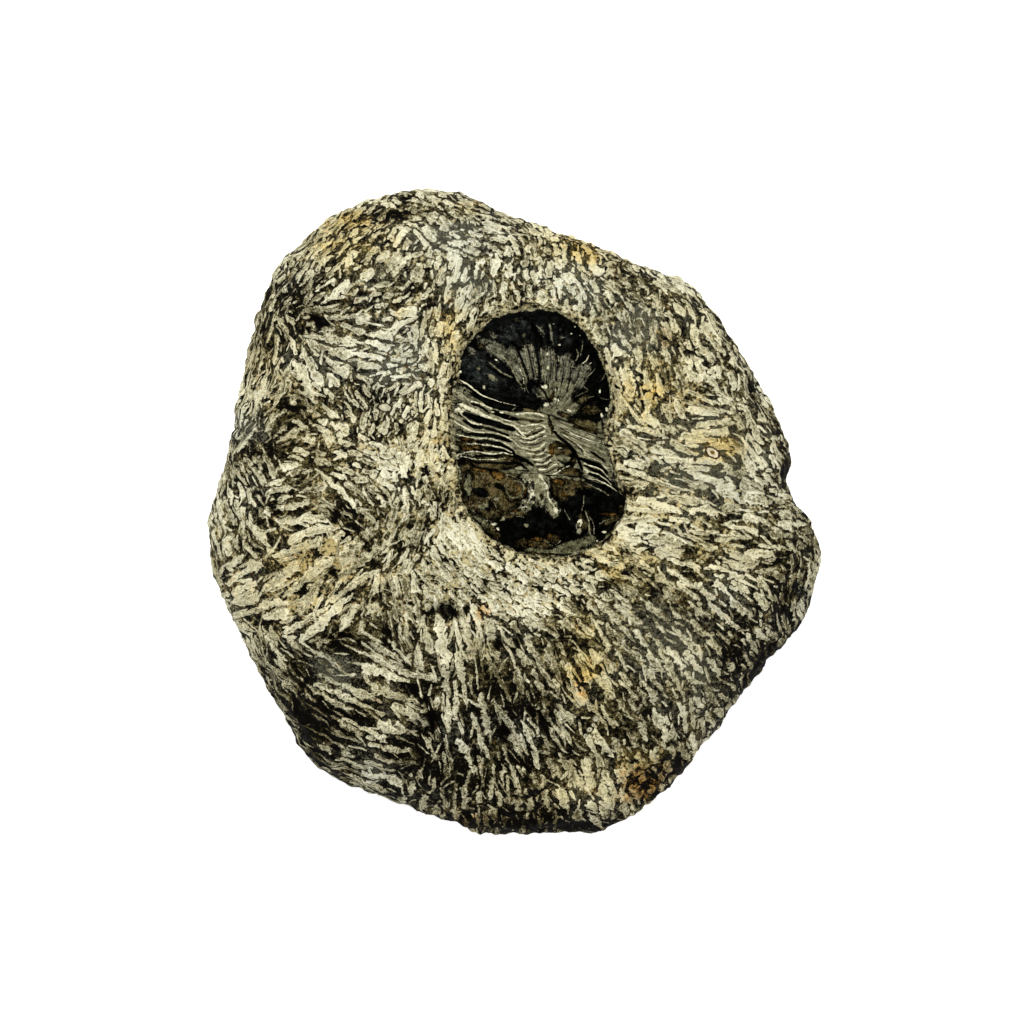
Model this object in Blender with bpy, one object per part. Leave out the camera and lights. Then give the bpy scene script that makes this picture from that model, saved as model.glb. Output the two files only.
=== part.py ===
"""A fossil trilobite in its block of limestone, in metres, +Z up, resting on its flat underside at z = 0.

A shallow hollow in the top of the block holds the animal's shell, which is twelve separate plates: the head
shield (cephalon) towards -Y, ten thorax segments, and the fan-shaped tail shield (pygidium) towards +Y. The
plates lie side by side on the hollow's level floor. Lengths below are millimetres; MM turns them into metres.
"""

import math

import bmesh
import bpy
import numpy as np
from mathutils import Vector, noise

MM = 0.001

# The block, seen from above: bearing in degrees anticlockwise from +X, and distance from the origin.
BLOCK_OUTLINE = (
    (2, 49.0), (6, 47.9), (14, 48.9), (32, 47.8), (50, 49.6), (70, 48.0), (80, 49.0), (92, 52.1),
    (102, 56.8), (112, 58.8), (122, 59.8), (134, 58.3), (144, 55.0), (154, 51.4), (168, 50.1), (186, 52.7),
    (208, 51.7), (222, 52.6), (233, 55.2), (248, 54.1), (266, 55.4), (284, 56.7), (298, 55.0), (312, 51.5),
    (320, 50.5), (330, 51.4), (340, 53.6), (352, 53.5), (358, 51.6),
)  # fmt: skip
PLATEAU = 34.0  # height of the top where no hill or trough changes it
WAIST = 15.0  # height at which the block is widest
WAIST_SWING = 0.35  # how far that height swings up and down round the block, as a share
WAIST_NOISE = (2.9, 16.0)  # seed and size of that swing
BASE_INSET = 9.0  # how far the sides draw in from the widest outline down to the underside
BASE_SWING = 0.4  # how far that inset swings round the block, as a share
BASE_NOISE = (5.5, 14.0)
SIDE_CURVE = 1.7  # above 1, the sides leave the widest outline gently and draw in faster near the underside
SOLE_STEP = 1.0  # how much further in the flat face starts
SOLE_RING = 0.6  # where the flat face's inner ring of points lies, as a share
# How squarely the top turns down into the sides: bearing, and the exponent of the rounding.
SHOULDERS = (
    (0, 3.6), (50, 4.2), (90, 4.0), (130, 5.0), (175, 7.5), (215, 4.6), (250, 2.9), (290, 2.6), (325, 3.2),
)  # fmt: skip
# Hills (positive) and troughs (negative) of the top: x, y, spread in x, spread in y, height.
HILLS = (
    (-6.0, -17.0, 17.0, 8.0, 4.6),
    (-33.0, -6.0, 10.0, 8.0, 2.6),
    (-30.0, 40.0, 14.0, 8.0, 2.6),
    (-35.0, 20.0, 6.0, 10.0, -2.2),
    (30.0, 24.0, 12.0, 12.0, 1.4),
    (36.0, 2.0, 10.0, 5.0, -1.4),
    (38.0, -12.0, 9.0, 8.0, 1.8),
    (24.0, -30.0, 10.0, 7.0, 1.6),
    (-28.0, -28.0, 12.0, 4.0, -1.6),
    (4.0, -46.0, 22.0, 9.0, -2.0),
)
# Broken pits in the top: x, y, half length, half width, bearing of the length, depth.
PITS = (
    (-12.3, -16.8, 4.4, 2.2, 8, 3.0),
    (-14.0, -37.0, 4.6, 2.2, 80, 2.4),
    (-1.5, -38.8, 2.6, 1.9, 100, 2.4),
    (5.8, -36.0, 2.4, 1.8, 10, 2.2),
    (-2.4, -22.8, 1.9, 1.7, 0, 2.0),
    (2.0, -22.6, 2.0, 1.6, 0, 1.6),
    (-29.4, -21.6, 3.2, 1.6, -15, 1.6),
    (-28.8, -35.2, 3.4, 1.7, -15, 1.6),
    (-30.0, -41.0, 1.9, 1.7, 0, 1.6),
    (-38.6, 18.0, 2.0, 2.2, 90, 2.0),
    (-33.4, 32.3, 2.6, 1.7, -15, 2.0),
    (-20.0, 50.2, 2.8, 1.6, 10, 1.4),
)
# Lumps all over the skin: their size, their height and a seed.
LUMPS = ((13.0, 1.7, 3.1), (6.0, 1.3, 8.4), (3.4, 0.7, 2.2))
LUMP_ONSET = 6.0  # how fast the lumps reach full height away from the hollow
LUMP_CALM = 0.65  # how much of their height is lost at the outline
# Ledges of the sides under the waist: how far below it, and how far the block steps in.
LEDGES = ((4.0, 1.1), (9.0, 1.3))
LEDGE_EASE = 0.9  # height over which a ledge steps in

# The hollow that holds the shell.
HOLLOW_CENTRE = (4.1, 13.3)
HOLLOW_OUTLINE = (
    (-9.8, 24.4), (-8.7, 28.7), (-6.3, 31.6), (-3.4, 34.0), (0.3, 35.2), (4.9, 35.7), (8.4, 35.1),
    (11.7, 32.9), (14.4, 29.6), (16.4, 25.6), (17.5, 21.8), (17.8, 19.2), (17.2, 16.4), (16.6, 13.8),
    (17.0, 11.2), (18.2, 7.6), (19.4, 4.5), (20.3, 1.6), (19.6, -1.4), (17.4, -4.3), (13.9, -6.9),
    (9.6, -8.3), (5.8, -8.5), (1.1, -7.8), (-1.8, -6.4), (-4.3, -4.9), (-6.9, -2.4), (-8.8, 0.3),
    (-9.6, 3.8), (-10.2, 7.9), (-10.8, 12.4), (-11.0, 16.8), (-10.6, 21.1),
)  # fmt: skip
FLOOR = 28.6  # height of the hollow's floor
WALL_LEAN = 0.7  # how far the wall leans outwards on its way up
# How far the ground dips at the hollow's edge: bearing from its centre, and depth.
DIPS = (
    (0, 2.6), (45, 2.0), (90, 1.6), (135, 2.0), (180, 2.8), (225, 3.6), (255, 4.6), (290, 5.0), (325, 3.6),
)  # fmt: skip
DIP_WIDTH = 9.0

# The shell's plates.
GAP = 0.3  # clear space between two plates, and between a plate and the block
TAIL_APEX = (6.5, 19.3)  # the point from which the ribs of the tail spread
TAIL_OUTER = (
    (-9.2, 24.4), (-8.2, 28.5), (-6.0, 31.1), (-3.0, 33.5), (0.4, 34.7), (4.9, 35.1), (8.0, 34.5),
    (11.3, 32.3), (13.9, 29.0), (15.8, 25.2), (16.8, 21.8), (17.2, 19.2), (16.6, 16.6), (15.8, 14.3),
)  # fmt: skip
TAIL_SKIRT = ((14.0, 6.0), (6.0, 2.0), (-4.0, 6.0), (-9.5, 15.0))  # carries the dome on past the front edge
TAIL_RIM, TAIL_RISE, TAIL_DOME = 1.4, 3.6, 1.8  # the rim's height over the floor, the dome's rise and exponent
TAIL_RIBS, RIB_RELIEF, RIB_ONSET = 15, 0.32, 4.0  # the ribs reach full height this far from the apex
TAIL_FAN = (-25, 165)  # bearings of the first and the last rib
TAIL_AXIS, TAIL_AXIS_RISE = (5.6, 20.4, 2.6, 1.6, 100), 0.9  # the axis lobe, written like a pit
RIB_FACES, BEHIND_FACES = 5, 16  # faces round each rib, and round the part behind the fan
TAIL_SHARES = (0.16, 0.36, 0.56, 0.76, 0.92, 1.0)  # where the tail's rings of points lie
HEAD_CENTRE = (5.8, -0.9)
HEAD_OUTER = (
    (-9.1, 7.5), (-8.8, 3.8), (-8.2, 0.7), (-6.3, -1.9), (-3.7, -4.3), (-1.5, -5.8), (1.5, -7.1),
    (5.8, -7.8), (9.2, -7.6), (13.6, -6.2), (16.8, -3.8), (18.9, -1.0), (19.5, 1.2), (18.9, 2.4),
)  # fmt: skip
HEAD_SKIRT = ((19.0, 7.0), (12.0, 12.0), (0.0, 14.0), (-10.0, 12.0))  # carries it on past the rear edge
HEAD_RIM, HEAD_RISE, HEAD_DOME = 1.3, 2.4, 2.2
HEAD_AROUND = 64  # faces round the head
HEAD_SHARES = (0.13, 0.27, 0.41, 0.54, 0.67, 0.79, 0.9, 1.0)
# Lobes of the head: x, y, half length, half width, bearing of the length, height over the dome.
HEAD_LOBES = (
    (6.2, 3.0, 4.2, 2.0, -65, 2.2),  # glabella, its narrow rear
    (7.6, -1.6, 3.4, 3.2, -60, 1.8),  # glabella, its broad front
    (1.0, 3.8, 2.1, 1.9, 0, 1.7),  # left eye
    (14.6, 1.6, 3.2, 2.0, -12, 2.0),  # right eye
    (2.0, -2.4, 2.8, 2.2, 20, 1.0),
    (12.0, -3.4, 2.6, 2.0, 25, 0.9),
    (-5.4, 3.8, 2.4, 2.8, 60, 0.7),
)
# The thorax: four lines that every segment crosses, each from the tail to the head.
LEFT_TIPS = ((-9.3, 22.3), (-10.2, 18.2), (-10.2, 13.6), (-9.5, 8.9))
LEFT_FURROW = ((0.9, 18.2), (-0.2, 14.9), (0.4, 11.2), (2.9, 6.6))
RIGHT_FURROW = ((7.4, 16.4), (8.8, 13.2), (10.8, 9.8), (12.0, 6.2))
RIGHT_TIPS = ((15.4, 13.3), (16.3, 10.2), (17.3, 6.9), (18.3, 3.4))
FURROW_STATIONS = (-0.36, 0.3)  # where the two furrows lie along a segment, which runs from -1 to 1
SEGMENTS = 10
MARGIN_STATIONS = (0.93, 0.8, 0.62, 0.45, 0.3, 0.1, -0.1, -0.36, -0.5, -0.65, -0.8, -0.93)
MARGIN_CLEARANCE = 0.02  # how far the tail and the head stand off the thorax, as a share of its length
PLEURA_BOW = 0.8  # how far the left pleurae sag between tip and furrow
PLEURA_RISE = (2.0, 3.8)  # height over the floor at a tip and beside a furrow
FURROW_DEPTH, FURROW_WIDTH = 0.5, 0.08
AXIS_RISE = 5.3
EDGE_DROP = 0.45  # how far a segment's two edges lie below its crest
CREST_PLACE = 0.55  # where that crest lies across a segment, from its tail side
SEGMENT_STATIONS = (
    -1, -0.86, -0.7, -0.55, -0.44, -0.36, -0.26, -0.14, -0.03, 0.08, 0.2, 0.3, 0.4, 0.55, 0.75, 0.9, 1,
)  # fmt: skip
GAP_SPARE = 0.03  # added at each side of a gap, as the plates' edges aren't quite parallel

BLOCK_AROUND = 112  # faces round the block
# Where the block's rings of faces lie: on the top, from the hollow's edge out, and below the waist.
TOP_SHARES = (
    0, 0.045, 0.11, 0.18, 0.26, 0.34, 0.42, 0.5, 0.58, 0.66, 0.735, 0.805, 0.867, 0.92, 0.96, 0.986, 1,
)  # fmt: skip
SIDE_SHARES = (0.84, 0.66, 0.46, 0.28, 0.1)
SMOOTH_STEPS = 6  # points that a smooth curve puts between two given ones
EASING = ((-2, 1), (-1, 2), (0, 3), (1, 2), (2, 1))  # neighbours, in steps of 5 degrees, and their weights


def loop_through(points):
    """A smooth closed curve through these points."""
    p = np.array(points, float)
    before, after, later = np.roll(p, 1, 0), np.roll(p, -1, 0), np.roll(p, -2, 0)
    steps = (np.arange(SMOOTH_STEPS) / SMOOTH_STEPS)[None, :, None]
    a, b, c, d = (q[:, None, :] for q in (before, p, after, later))
    bend = 2 * a - 5 * b + 4 * c - d
    twist = 3 * (b - c) + d - a
    return (b + 0.5 * steps * (c - a + steps * (bend + steps * twist))).reshape(-1, 2)


def reach(points, centre, bearings):
    """Distance from the centre to a closed outline, in each direction."""
    away = loop_through(points) - np.array(centre)
    order = np.argsort(np.arctan2(away[:, 1], away[:, 0]))
    away = away[order]
    return np.interp(bearings, np.arctan2(away[:, 1], away[:, 0]), np.hypot(*away.T), period=2 * math.pi)


def by_bearing(table, bearings):
    """A value given at a few bearings in degrees, eased between them."""
    at = np.radians([row[0] for row in table])
    values = np.array([row[1] for row in table], float)
    fine = np.linspace(0, 2 * math.pi, 73)[:-1]
    plain = np.interp(fine, at, values, period=2 * math.pi)
    eased = sum(weight * np.roll(plain, shift) for shift, weight in EASING)
    return np.interp(bearings, fine, eased / sum(weight for _, weight in EASING), period=2 * math.pi)


def line_through(points, t):
    """The point at t, from 0 to 1, on a smooth open curve through evenly spaced points."""
    p = np.array(points, float)
    p = np.vstack([2 * p[0] - p[1], p, 2 * p[-1] - p[-2]])
    span = min(int(t * (len(points) - 1)), len(points) - 2)
    s = t * (len(points) - 1) - span
    a, b, c, d = p[span : span + 4]
    return b + 0.5 * s * (c - a + s * (2 * a - 5 * b + 4 * c - d + s * (3 * (b - c) + d - a)))


def oval(x, y, cx, cy, half_length, half_width, bearing):
    """A smooth hump of height 1 with an oval foot."""
    turn = math.radians(bearing)
    along = (x - cx) * math.cos(turn) + (y - cy) * math.sin(turn)
    across = (y - cy) * math.cos(turn) - (x - cx) * math.sin(turn)
    return np.exp(-((along / half_length) ** 2) - (across / half_width) ** 2)


def rough(x, y, z, size, seed):
    """Smooth noise between about -1 and 1, with lumps of about this size."""
    spot = Vector((seed, seed * 1.7, seed * 0.6))
    return np.array([noise.noise(Vector(p) / size + spot) for p in zip(x, y, z)])


def block_corners():
    """The points of the block's widest outline."""
    return [(r * math.cos(math.radians(b)), r * math.sin(math.radians(b))) for b, r in BLOCK_OUTLINE]


def block_reach(bearing):
    """Distance from the origin to the block's widest outline."""
    return reach(block_corners(), (0.0, 0.0), bearing)


def around_block(seed, size, bearing):
    """A value that swings between about -1 and 1 round the block."""
    radius = 20.0
    return rough(radius * np.cos(bearing), radius * np.sin(bearing), 0 * bearing, size, seed)


def waist_height(bearing):
    return WAIST * (1 + WAIST_SWING * around_block(*WAIST_NOISE, bearing))


def base_inset(bearing):
    return BASE_INSET * (1 + BASE_SWING * around_block(*BASE_NOISE, bearing))


def ground(x, y):
    """Height of the top before its edge turns down: a plateau with hills, pits and the hollow's dip."""
    height = np.full_like(x, PLATEAU)
    for cx, cy, spread_x, spread_y, rise in HILLS:
        height += rise * oval(x, y, cx, cy, spread_x, spread_y, 0)
    for cx, cy, half_length, half_width, way, depth in PITS:
        height -= depth * oval(x, y, cx, cy, half_length, half_width, way)
    dx, dy = x - HOLLOW_CENTRE[0], y - HOLLOW_CENTRE[1]
    bearing = np.arctan2(dy, dx)
    past = np.hypot(dx, dy) - reach(HOLLOW_OUTLINE, HOLLOW_CENTRE, bearing) - WALL_LEAN
    return height - by_bearing(DIPS, bearing) * np.exp(-((past.clip(0) / DIP_WIDTH) ** 2))


def top_height(x, y):
    """Height of the block's upper side, which turns down to the waist at the outline."""
    bearing = np.arctan2(y, x)
    out = (np.hypot(x, y) / block_reach(bearing)).clip(0, 1)
    waist = waist_height(bearing)
    return waist + (ground(x, y) - waist) * np.sqrt(1 - out ** by_bearing(SHOULDERS, bearing))


def facing(skin):
    """Unit normals of a grid of points, rings by bearings."""
    around = np.roll(skin, -1, 1) - np.roll(skin, 1, 1)
    normal = np.cross(np.gradient(skin, axis=0), around)
    return normal / np.maximum(np.linalg.norm(normal, axis=2, keepdims=True), 1e-9)


def bedding(z):
    """Shallow ledges where the layers of the limestone have broken back unevenly."""
    return sum(0.5 * depth * (1 + np.tanh((z - level) / LEDGE_EASE)) for level, depth in LEDGES)


def block_rings():
    """The block's outer skin as rings of points, from the hollow's floor over the rim to the underside."""
    turn = np.arange(BLOCK_AROUND) * 2 * math.pi / BLOCK_AROUND
    ways = np.column_stack([np.cos(turn), np.sin(turn)])
    inner = reach(HOLLOW_OUTLINE, HOLLOW_CENTRE, turn)
    edge = inner + WALL_LEAN
    outer = reach(block_corners(), HOLLOW_CENTRE, turn)
    rings, strengths = [], []
    for share in TOP_SHARES:
        x, y = (HOLLOW_CENTRE + (edge + share * (outer - edge))[:, None] * ways).T
        rings.append(np.column_stack([x, y, top_height(x, y)]))
        strengths.append(min(1, LUMP_ONSET * share) * (1 - LUMP_CALM * share**12))
    outline = rings[-1][:, :2]
    bearing = np.arctan2(outline[:, 1], outline[:, 0])
    waist, inset = waist_height(bearing), base_inset(bearing)

    def drawn_in(by, z):
        """The outline moved towards the origin, at this height."""
        return np.column_stack([outline * (1 - by / np.hypot(*outline.T))[:, None], z])

    for share in SIDE_SHARES:
        by = inset * (1 - share) ** SIDE_CURVE + bedding(waist * (1 - share)) * share
        rings.append(drawn_in(by, waist * share))
        strengths.append(1 - LUMP_CALM + 1.1 * (1 - share) * share)
    skin = np.array(rings)
    x, y, z = skin.reshape(-1, 3).T
    lift = sum(height * rough(x, y, z, size, seed) for size, height, seed in LUMPS)
    skin += facing(skin) * (lift.reshape(skin.shape[:2]) * np.array(strengths)[:, None])[:, :, None]
    level = np.zeros(BLOCK_AROUND)
    floor = np.column_stack([HOLLOW_CENTRE + inner[:, None] * ways, level + FLOOR])
    sole = drawn_in(inset + SOLE_STEP, level)
    return [floor, *skin, sole, sole * SOLE_RING]


def thorax_point(station, t):
    """Where a segment's line at t, from the tail (0) to the head (1), lies at a station from -1 to 1."""
    marks = [line_through(line, t) for line in (LEFT_TIPS, LEFT_FURROW, RIGHT_FURROW, RIGHT_TIPS)]
    left, right = FURROW_STATIONS
    x = np.interp(station, (-1, left, right, 1), [p[0] for p in marks])
    y = np.interp(station, (-1, left, right, 1), [p[1] for p in marks])
    bow = math.sin(math.pi * (station + 1) / (left + 1)) if station < left else 0.0
    return x, y - PLEURA_BOW * bow


def margin(t):
    """The edge that a shield turns to the thorax, from right to left."""
    return tuple(thorax_point(station, t) for station in MARGIN_STATIONS)


def tail_height(x, y):
    """Height of the tail shield over the floor: a low dome with ribs that spread from its apex."""
    dx, dy = x - TAIL_APEX[0], y - TAIL_APEX[1]
    bearing, away = np.arctan2(dy, dx), np.hypot(dx, dy)
    share = np.clip(away / reach(TAIL_OUTER + TAIL_SKIRT, TAIL_APEX, bearing), 0, 1)
    height = TAIL_RIM + TAIL_RISE * (1 - share**TAIL_DOME)
    fan = (np.degrees(bearing) - TAIL_FAN[0]) / (TAIL_FAN[1] - TAIL_FAN[0])
    ribs = np.cos(2 * math.pi * TAIL_RIBS * fan)
    strength = np.clip(away / RIB_ONSET, 0, 1) * np.clip((1 - share) * 5, 0, 1)
    height += RIB_RELIEF * ribs * strength
    return height + TAIL_AXIS_RISE * oval(x, y, *TAIL_AXIS)


def head_height(x, y):
    """Height of the head shield over the floor: a dome with its lobes and eyes."""
    dx, dy = x - HEAD_CENTRE[0], y - HEAD_CENTRE[1]
    far = reach(HEAD_OUTER + HEAD_SKIRT, HEAD_CENTRE, np.arctan2(dy, dx))
    share = np.clip(np.hypot(dx, dy) / far, 0, 1)
    height = HEAD_RIM + HEAD_RISE * (1 - share**HEAD_DOME)
    for cx, cy, half_length, half_width, bearing, rise in HEAD_LOBES:
        height += rise * oval(x, y, cx, cy, half_length, half_width, bearing) * (1 - share**6)
    return height


def plate_rings(outline, centre, bearings, shares, height):
    """Rings of a plate whose top follows height, with an upright edge and a level underside."""
    far = reach(outline, centre, bearings)
    rings = []
    for share in shares:
        x = centre[0] + share * far * np.cos(bearings)
        y = centre[1] + share * far * np.sin(bearings)
        rings.append(np.column_stack([x, y, FLOOR + height(x, y)]))
    foot = rings[-1].copy()
    foot[:, 2] = FLOOR + GAP
    return rings + [foot]


def thorax_height(station):
    """Height of a segment's crest over the floor."""
    left, right = FURROW_STATIONS
    if left < station < right:
        across = (2 * station - left - right) / (right - left)
        base = PLEURA_RISE[1] - FURROW_DEPTH
        return base + (AXIS_RISE - base) * math.sqrt(1 - across**2)
    out = (left - station) / (1 + left) if station <= left else (station - right) / (1 - right)
    low, high = PLEURA_RISE
    return high + (low - high) * out**1.5 - FURROW_DEPTH * math.exp(-((out / FURROW_WIDTH) ** 2))


def segment_rings(number):
    """Cross-sections of one thorax segment, from its left tip to its right tip."""
    pitch = 1 / SEGMENTS
    rings = []
    for station in SEGMENT_STATIONS:
        rear = np.array(thorax_point(station, number * pitch))
        front = np.array(thorax_point(station, (number + 1) * pitch))
        spread = np.linalg.norm(front - rear)
        trim = (0.5 * GAP + GAP_SPARE) / spread
        rear, front = rear + trim * (front - rear), front + trim * (rear - front)
        crest = (1 - CREST_PLACE) * rear + CREST_PLACE * front
        low, high = FLOOR + GAP, FLOOR + thorax_height(station)
        edge = high - EDGE_DROP
        around = ((rear, low), (rear, edge), (crest, high), (front, edge), (front, low))
        rings.append(np.array([(*spot, z) for spot, z in around]))
    return rings


def finish_of(name, colour, roughness):
    """A plain material with a Principled shader."""
    material = bpy.data.materials.new(name)
    material.use_nodes = True
    shader = material.node_tree.nodes["Principled BSDF"]
    shader.inputs["Base Color"].default_value = (*colour, 1.0)
    shader.inputs["Roughness"].default_value = roughness
    shader.inputs["Metallic"].default_value = 0.0
    return material


def body_from(name, rings, material, ends=None):
    """One closed body skinned over rings of points, closed at each end on a given point or with a flat face."""
    mesh = bpy.data.meshes.new(name)
    bm = bmesh.new()
    loops = [[bm.verts.new(Vector(p) * MM) for p in ring] for ring in rings]
    count = len(loops[0])
    for near, far in zip(loops, loops[1:]):
        for i in range(count):
            j = (i + 1) % count
            bm.faces.new((near[i], near[j], far[j], far[i]))
    for loop, end in zip((loops[0], loops[-1]), ends or (None, None)):
        if end is None:
            bm.faces.new(loop)
            continue
        tip = bm.verts.new(Vector(end) * MM)
        for i in range(count):
            bm.faces.new((loop[i], loop[(i + 1) % count], tip))
    bmesh.ops.triangulate(bm, faces=bm.faces[:])
    bmesh.ops.recalc_face_normals(bm, faces=bm.faces[:])
    bm.to_mesh(mesh)
    bm.free()
    mesh.materials.append(material)
    mesh.shade_smooth()
    mesh.set_sharp_from_angle(angle=math.radians(50))
    obj = bpy.data.objects.new(name, mesh)
    bpy.context.scene.collection.objects.link(obj)
    return obj


def make_block():
    tip = (*HOLLOW_CENTRE, FLOOR)
    sole = (0.0, 0.0, 0.0)
    return body_from("matrix", block_rings(), finish_of("limestone", (0.42, 0.39, 0.28), 0.9), (tip, sole))


def make_tail():
    first, last = (math.radians(b) for b in TAIL_FAN)
    fan = np.linspace(first, last, RIB_FACES * TAIL_RIBS + 1)
    behind = np.linspace(last, first + 2 * math.pi, BEHIND_FACES + 2)[1:-1]
    bearings = np.concatenate([fan, behind])
    bearings = np.where(bearings > math.pi, bearings - 2 * math.pi, bearings)
    outline = TAIL_OUTER + margin(-MARGIN_CLEARANCE)
    rings = plate_rings(outline, TAIL_APEX, bearings, TAIL_SHARES, tail_height)
    x, y = TAIL_APEX
    top = FLOOR + float(tail_height(np.array([x]), np.array([y]))[0])
    finish = finish_of("tail_shell", (0.03, 0.03, 0.025), 0.3)
    return body_from("pygidium", rings, finish, ((x, y, top), (x, y, FLOOR + GAP)))


def make_head():
    bearings = np.arange(HEAD_AROUND) * 2 * math.pi / HEAD_AROUND
    bearings = np.where(bearings > math.pi, bearings - 2 * math.pi, bearings)
    outline = HEAD_OUTER + margin(1 + MARGIN_CLEARANCE)
    rings = plate_rings(outline, HEAD_CENTRE, bearings, HEAD_SHARES, head_height)
    x, y = HEAD_CENTRE
    top = FLOOR + float(head_height(np.array([x]), np.array([y]))[0])
    finish = finish_of("head_shell", (0.06, 0.05, 0.03), 0.35)
    return body_from("cephalon", rings, finish, ((x, y, top), (x, y, FLOOR + GAP)))


def make_segment(number):
    name = f"thorax_segment_{number + 1:02d}"
    return body_from(name, segment_rings(number), finish_of(name + "_shell", (0.3, 0.26, 0.17), 0.45))


def main():
    for obj in list(bpy.data.objects):
        bpy.data.objects.remove(obj, do_unlink=True)
    make_block()
    make_tail()
    for number in range(SEGMENTS):
        make_segment(number)
    make_head()


main()
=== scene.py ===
"""The looks of a fossil trilobite in its block of chiselled limestone.

The block is one dense skin: a Delaunay mesh over the unrolled surface, which is the plan of the top in the
middle and the sides folded out flat around it. Thousands of strokes of the air scribe are laid on that
unrolled surface along directions that a table gives. Each stroke raises the skin a little and whitens it. The
shell's shields are fine Delaunay meshes and its segments are grids. All of them are painted by tables of
ovals and lines, each laid over the last. Lengths are millimetres until MM turns them into metres.
"""

import math

import bpy
import numpy as np
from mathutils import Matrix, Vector, noise
from mathutils.geometry import delaunay_2d_cdt


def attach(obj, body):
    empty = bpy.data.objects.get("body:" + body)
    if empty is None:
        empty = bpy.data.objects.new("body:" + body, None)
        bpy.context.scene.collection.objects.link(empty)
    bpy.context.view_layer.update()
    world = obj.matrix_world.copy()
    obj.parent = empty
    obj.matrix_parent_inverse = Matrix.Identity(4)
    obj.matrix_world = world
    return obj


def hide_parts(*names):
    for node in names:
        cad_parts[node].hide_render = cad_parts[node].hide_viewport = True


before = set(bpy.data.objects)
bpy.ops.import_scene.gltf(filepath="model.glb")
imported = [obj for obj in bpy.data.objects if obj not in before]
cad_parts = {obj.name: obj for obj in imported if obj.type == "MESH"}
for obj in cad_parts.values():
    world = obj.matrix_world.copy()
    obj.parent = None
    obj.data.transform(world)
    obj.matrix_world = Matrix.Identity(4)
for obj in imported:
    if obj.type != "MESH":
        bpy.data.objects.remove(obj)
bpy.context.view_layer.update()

MM = 0.001

# ---- The block's form, as in the solid model -------------------------------------------------------------

BLOCK_OUTLINE = (
    (2, 49.0), (6, 47.9), (14, 48.9), (32, 47.8), (50, 49.6), (70, 48.0), (80, 49.0), (92, 52.1),
    (102, 56.8), (112, 58.8), (122, 59.8), (134, 58.3), (144, 55.0), (154, 51.4), (168, 50.1), (186, 52.7),
    (208, 51.7), (222, 52.6), (233, 55.2), (248, 54.1), (266, 55.4), (284, 56.7), (298, 55.0), (312, 51.5),
    (320, 50.5), (330, 51.4), (340, 53.6), (352, 53.5), (358, 51.6),
)  # fmt: skip
PLATEAU = 34.0
WAIST, WAIST_SWING = 15.0, 0.35
BASE_INSET, INSET_SWING, INSET_CURVE = 9.0, 0.4, 1.7  # how far the sides draw in down to the sole
# How square the edge's shoulder is, by bearing in degrees.
SHOULDERS = (
    (0, 3.6), (50, 4.2), (90, 4.0), (130, 5.0), (175, 7.5), (215, 4.6), (250, 2.9), (290, 2.6), (325, 3.2),
)  # fmt: skip
# Rises and hollows of the top: x, y, spread in x, spread in y, height.
HILLS = (
    (-6.0, -17.0, 17.0, 8.0, 4.6),
    (-33.0, -6.0, 10.0, 8.0, 2.6),
    (-30.0, 40.0, 14.0, 8.0, 2.6),
    (-35.0, 20.0, 6.0, 10.0, -2.2),
    (30.0, 24.0, 12.0, 12.0, 1.4),
    (36.0, 2.0, 10.0, 5.0, -1.4),
    (38.0, -12.0, 9.0, 8.0, 1.8),
    (24.0, -30.0, 10.0, 7.0, 1.6),
    (-28.0, -28.0, 12.0, 4.0, -1.6),
    (4.0, -46.0, 22.0, 9.0, -2.0),
)
# Broken pits: x, y, half length, half width, bearing of the length, depth.
PITS = (
    (-12.3, -16.8, 4.4, 2.2, 8, 3.0),
    (-14.0, -37.0, 4.6, 2.2, 80, 2.4),
    (-1.5, -38.8, 2.6, 1.9, 100, 2.4),
    (5.8, -36.0, 2.4, 1.8, 10, 2.2),
    (-2.4, -22.8, 1.9, 1.7, 0, 2.0),
    (2.0, -22.6, 2.0, 1.6, 0, 1.6),
    (-29.4, -21.6, 3.2, 1.6, -15, 1.6),
    (-28.8, -35.2, 3.4, 1.7, -15, 1.6),
    (-30.0, -41.0, 1.9, 1.7, 0, 1.6),
    (-38.6, 18.0, 2.0, 2.2, 90, 2.0),
    (-33.4, 32.3, 2.6, 1.7, -15, 2.0),
    (-20.0, 50.2, 2.8, 1.6, 10, 1.4),
)
# Layers of bumps, here and further on: the size of the bumps, their height and a seed.
LUMPS = ((13.0, 1.7, 3.1), (6.0, 1.3, 8.4), (3.4, 0.7, 2.2))
GRAIN = ((1.3, 0.1, 6.1), (0.7, 0.06, 1.9))
EDGE_LUMPS = ((2.6, 0.5, 4.4), (1.5, 0.3, 8.2))  # along the block's edge
LEDGES, LEDGE_SOFTNESS = ((4.0, 1.1), (9.0, 1.3)), 0.9  # height on the side, and depth
EDGE_SHADE = 0.42  # how much painted shade darkens the edge on its lower side
HOLLOW_CENTRE = (4.1, 13.3)
HOLLOW_OUTLINE = (
    (-9.8, 24.4), (-8.7, 28.7), (-6.3, 31.6), (-3.4, 34.0), (0.3, 35.2), (4.9, 35.7), (8.4, 35.1),
    (11.7, 32.9), (14.4, 29.6), (16.4, 25.6), (17.5, 21.8), (17.8, 19.2), (17.2, 16.4), (16.6, 13.8),
    (17.0, 11.2), (18.2, 7.6), (19.4, 4.5), (20.3, 1.6), (19.6, -1.4), (17.4, -4.3), (13.9, -6.9),
    (9.6, -8.3), (5.8, -8.5), (1.1, -7.8), (-1.8, -6.4), (-4.3, -4.9), (-6.9, -2.4), (-8.8, 0.3),
    (-9.6, 3.8), (-10.2, 7.9), (-10.8, 12.4), (-11.0, 16.8), (-10.6, 21.1),
)  # fmt: skip
FLOOR = 28.6
WALL_LEAN = 0.7
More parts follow.
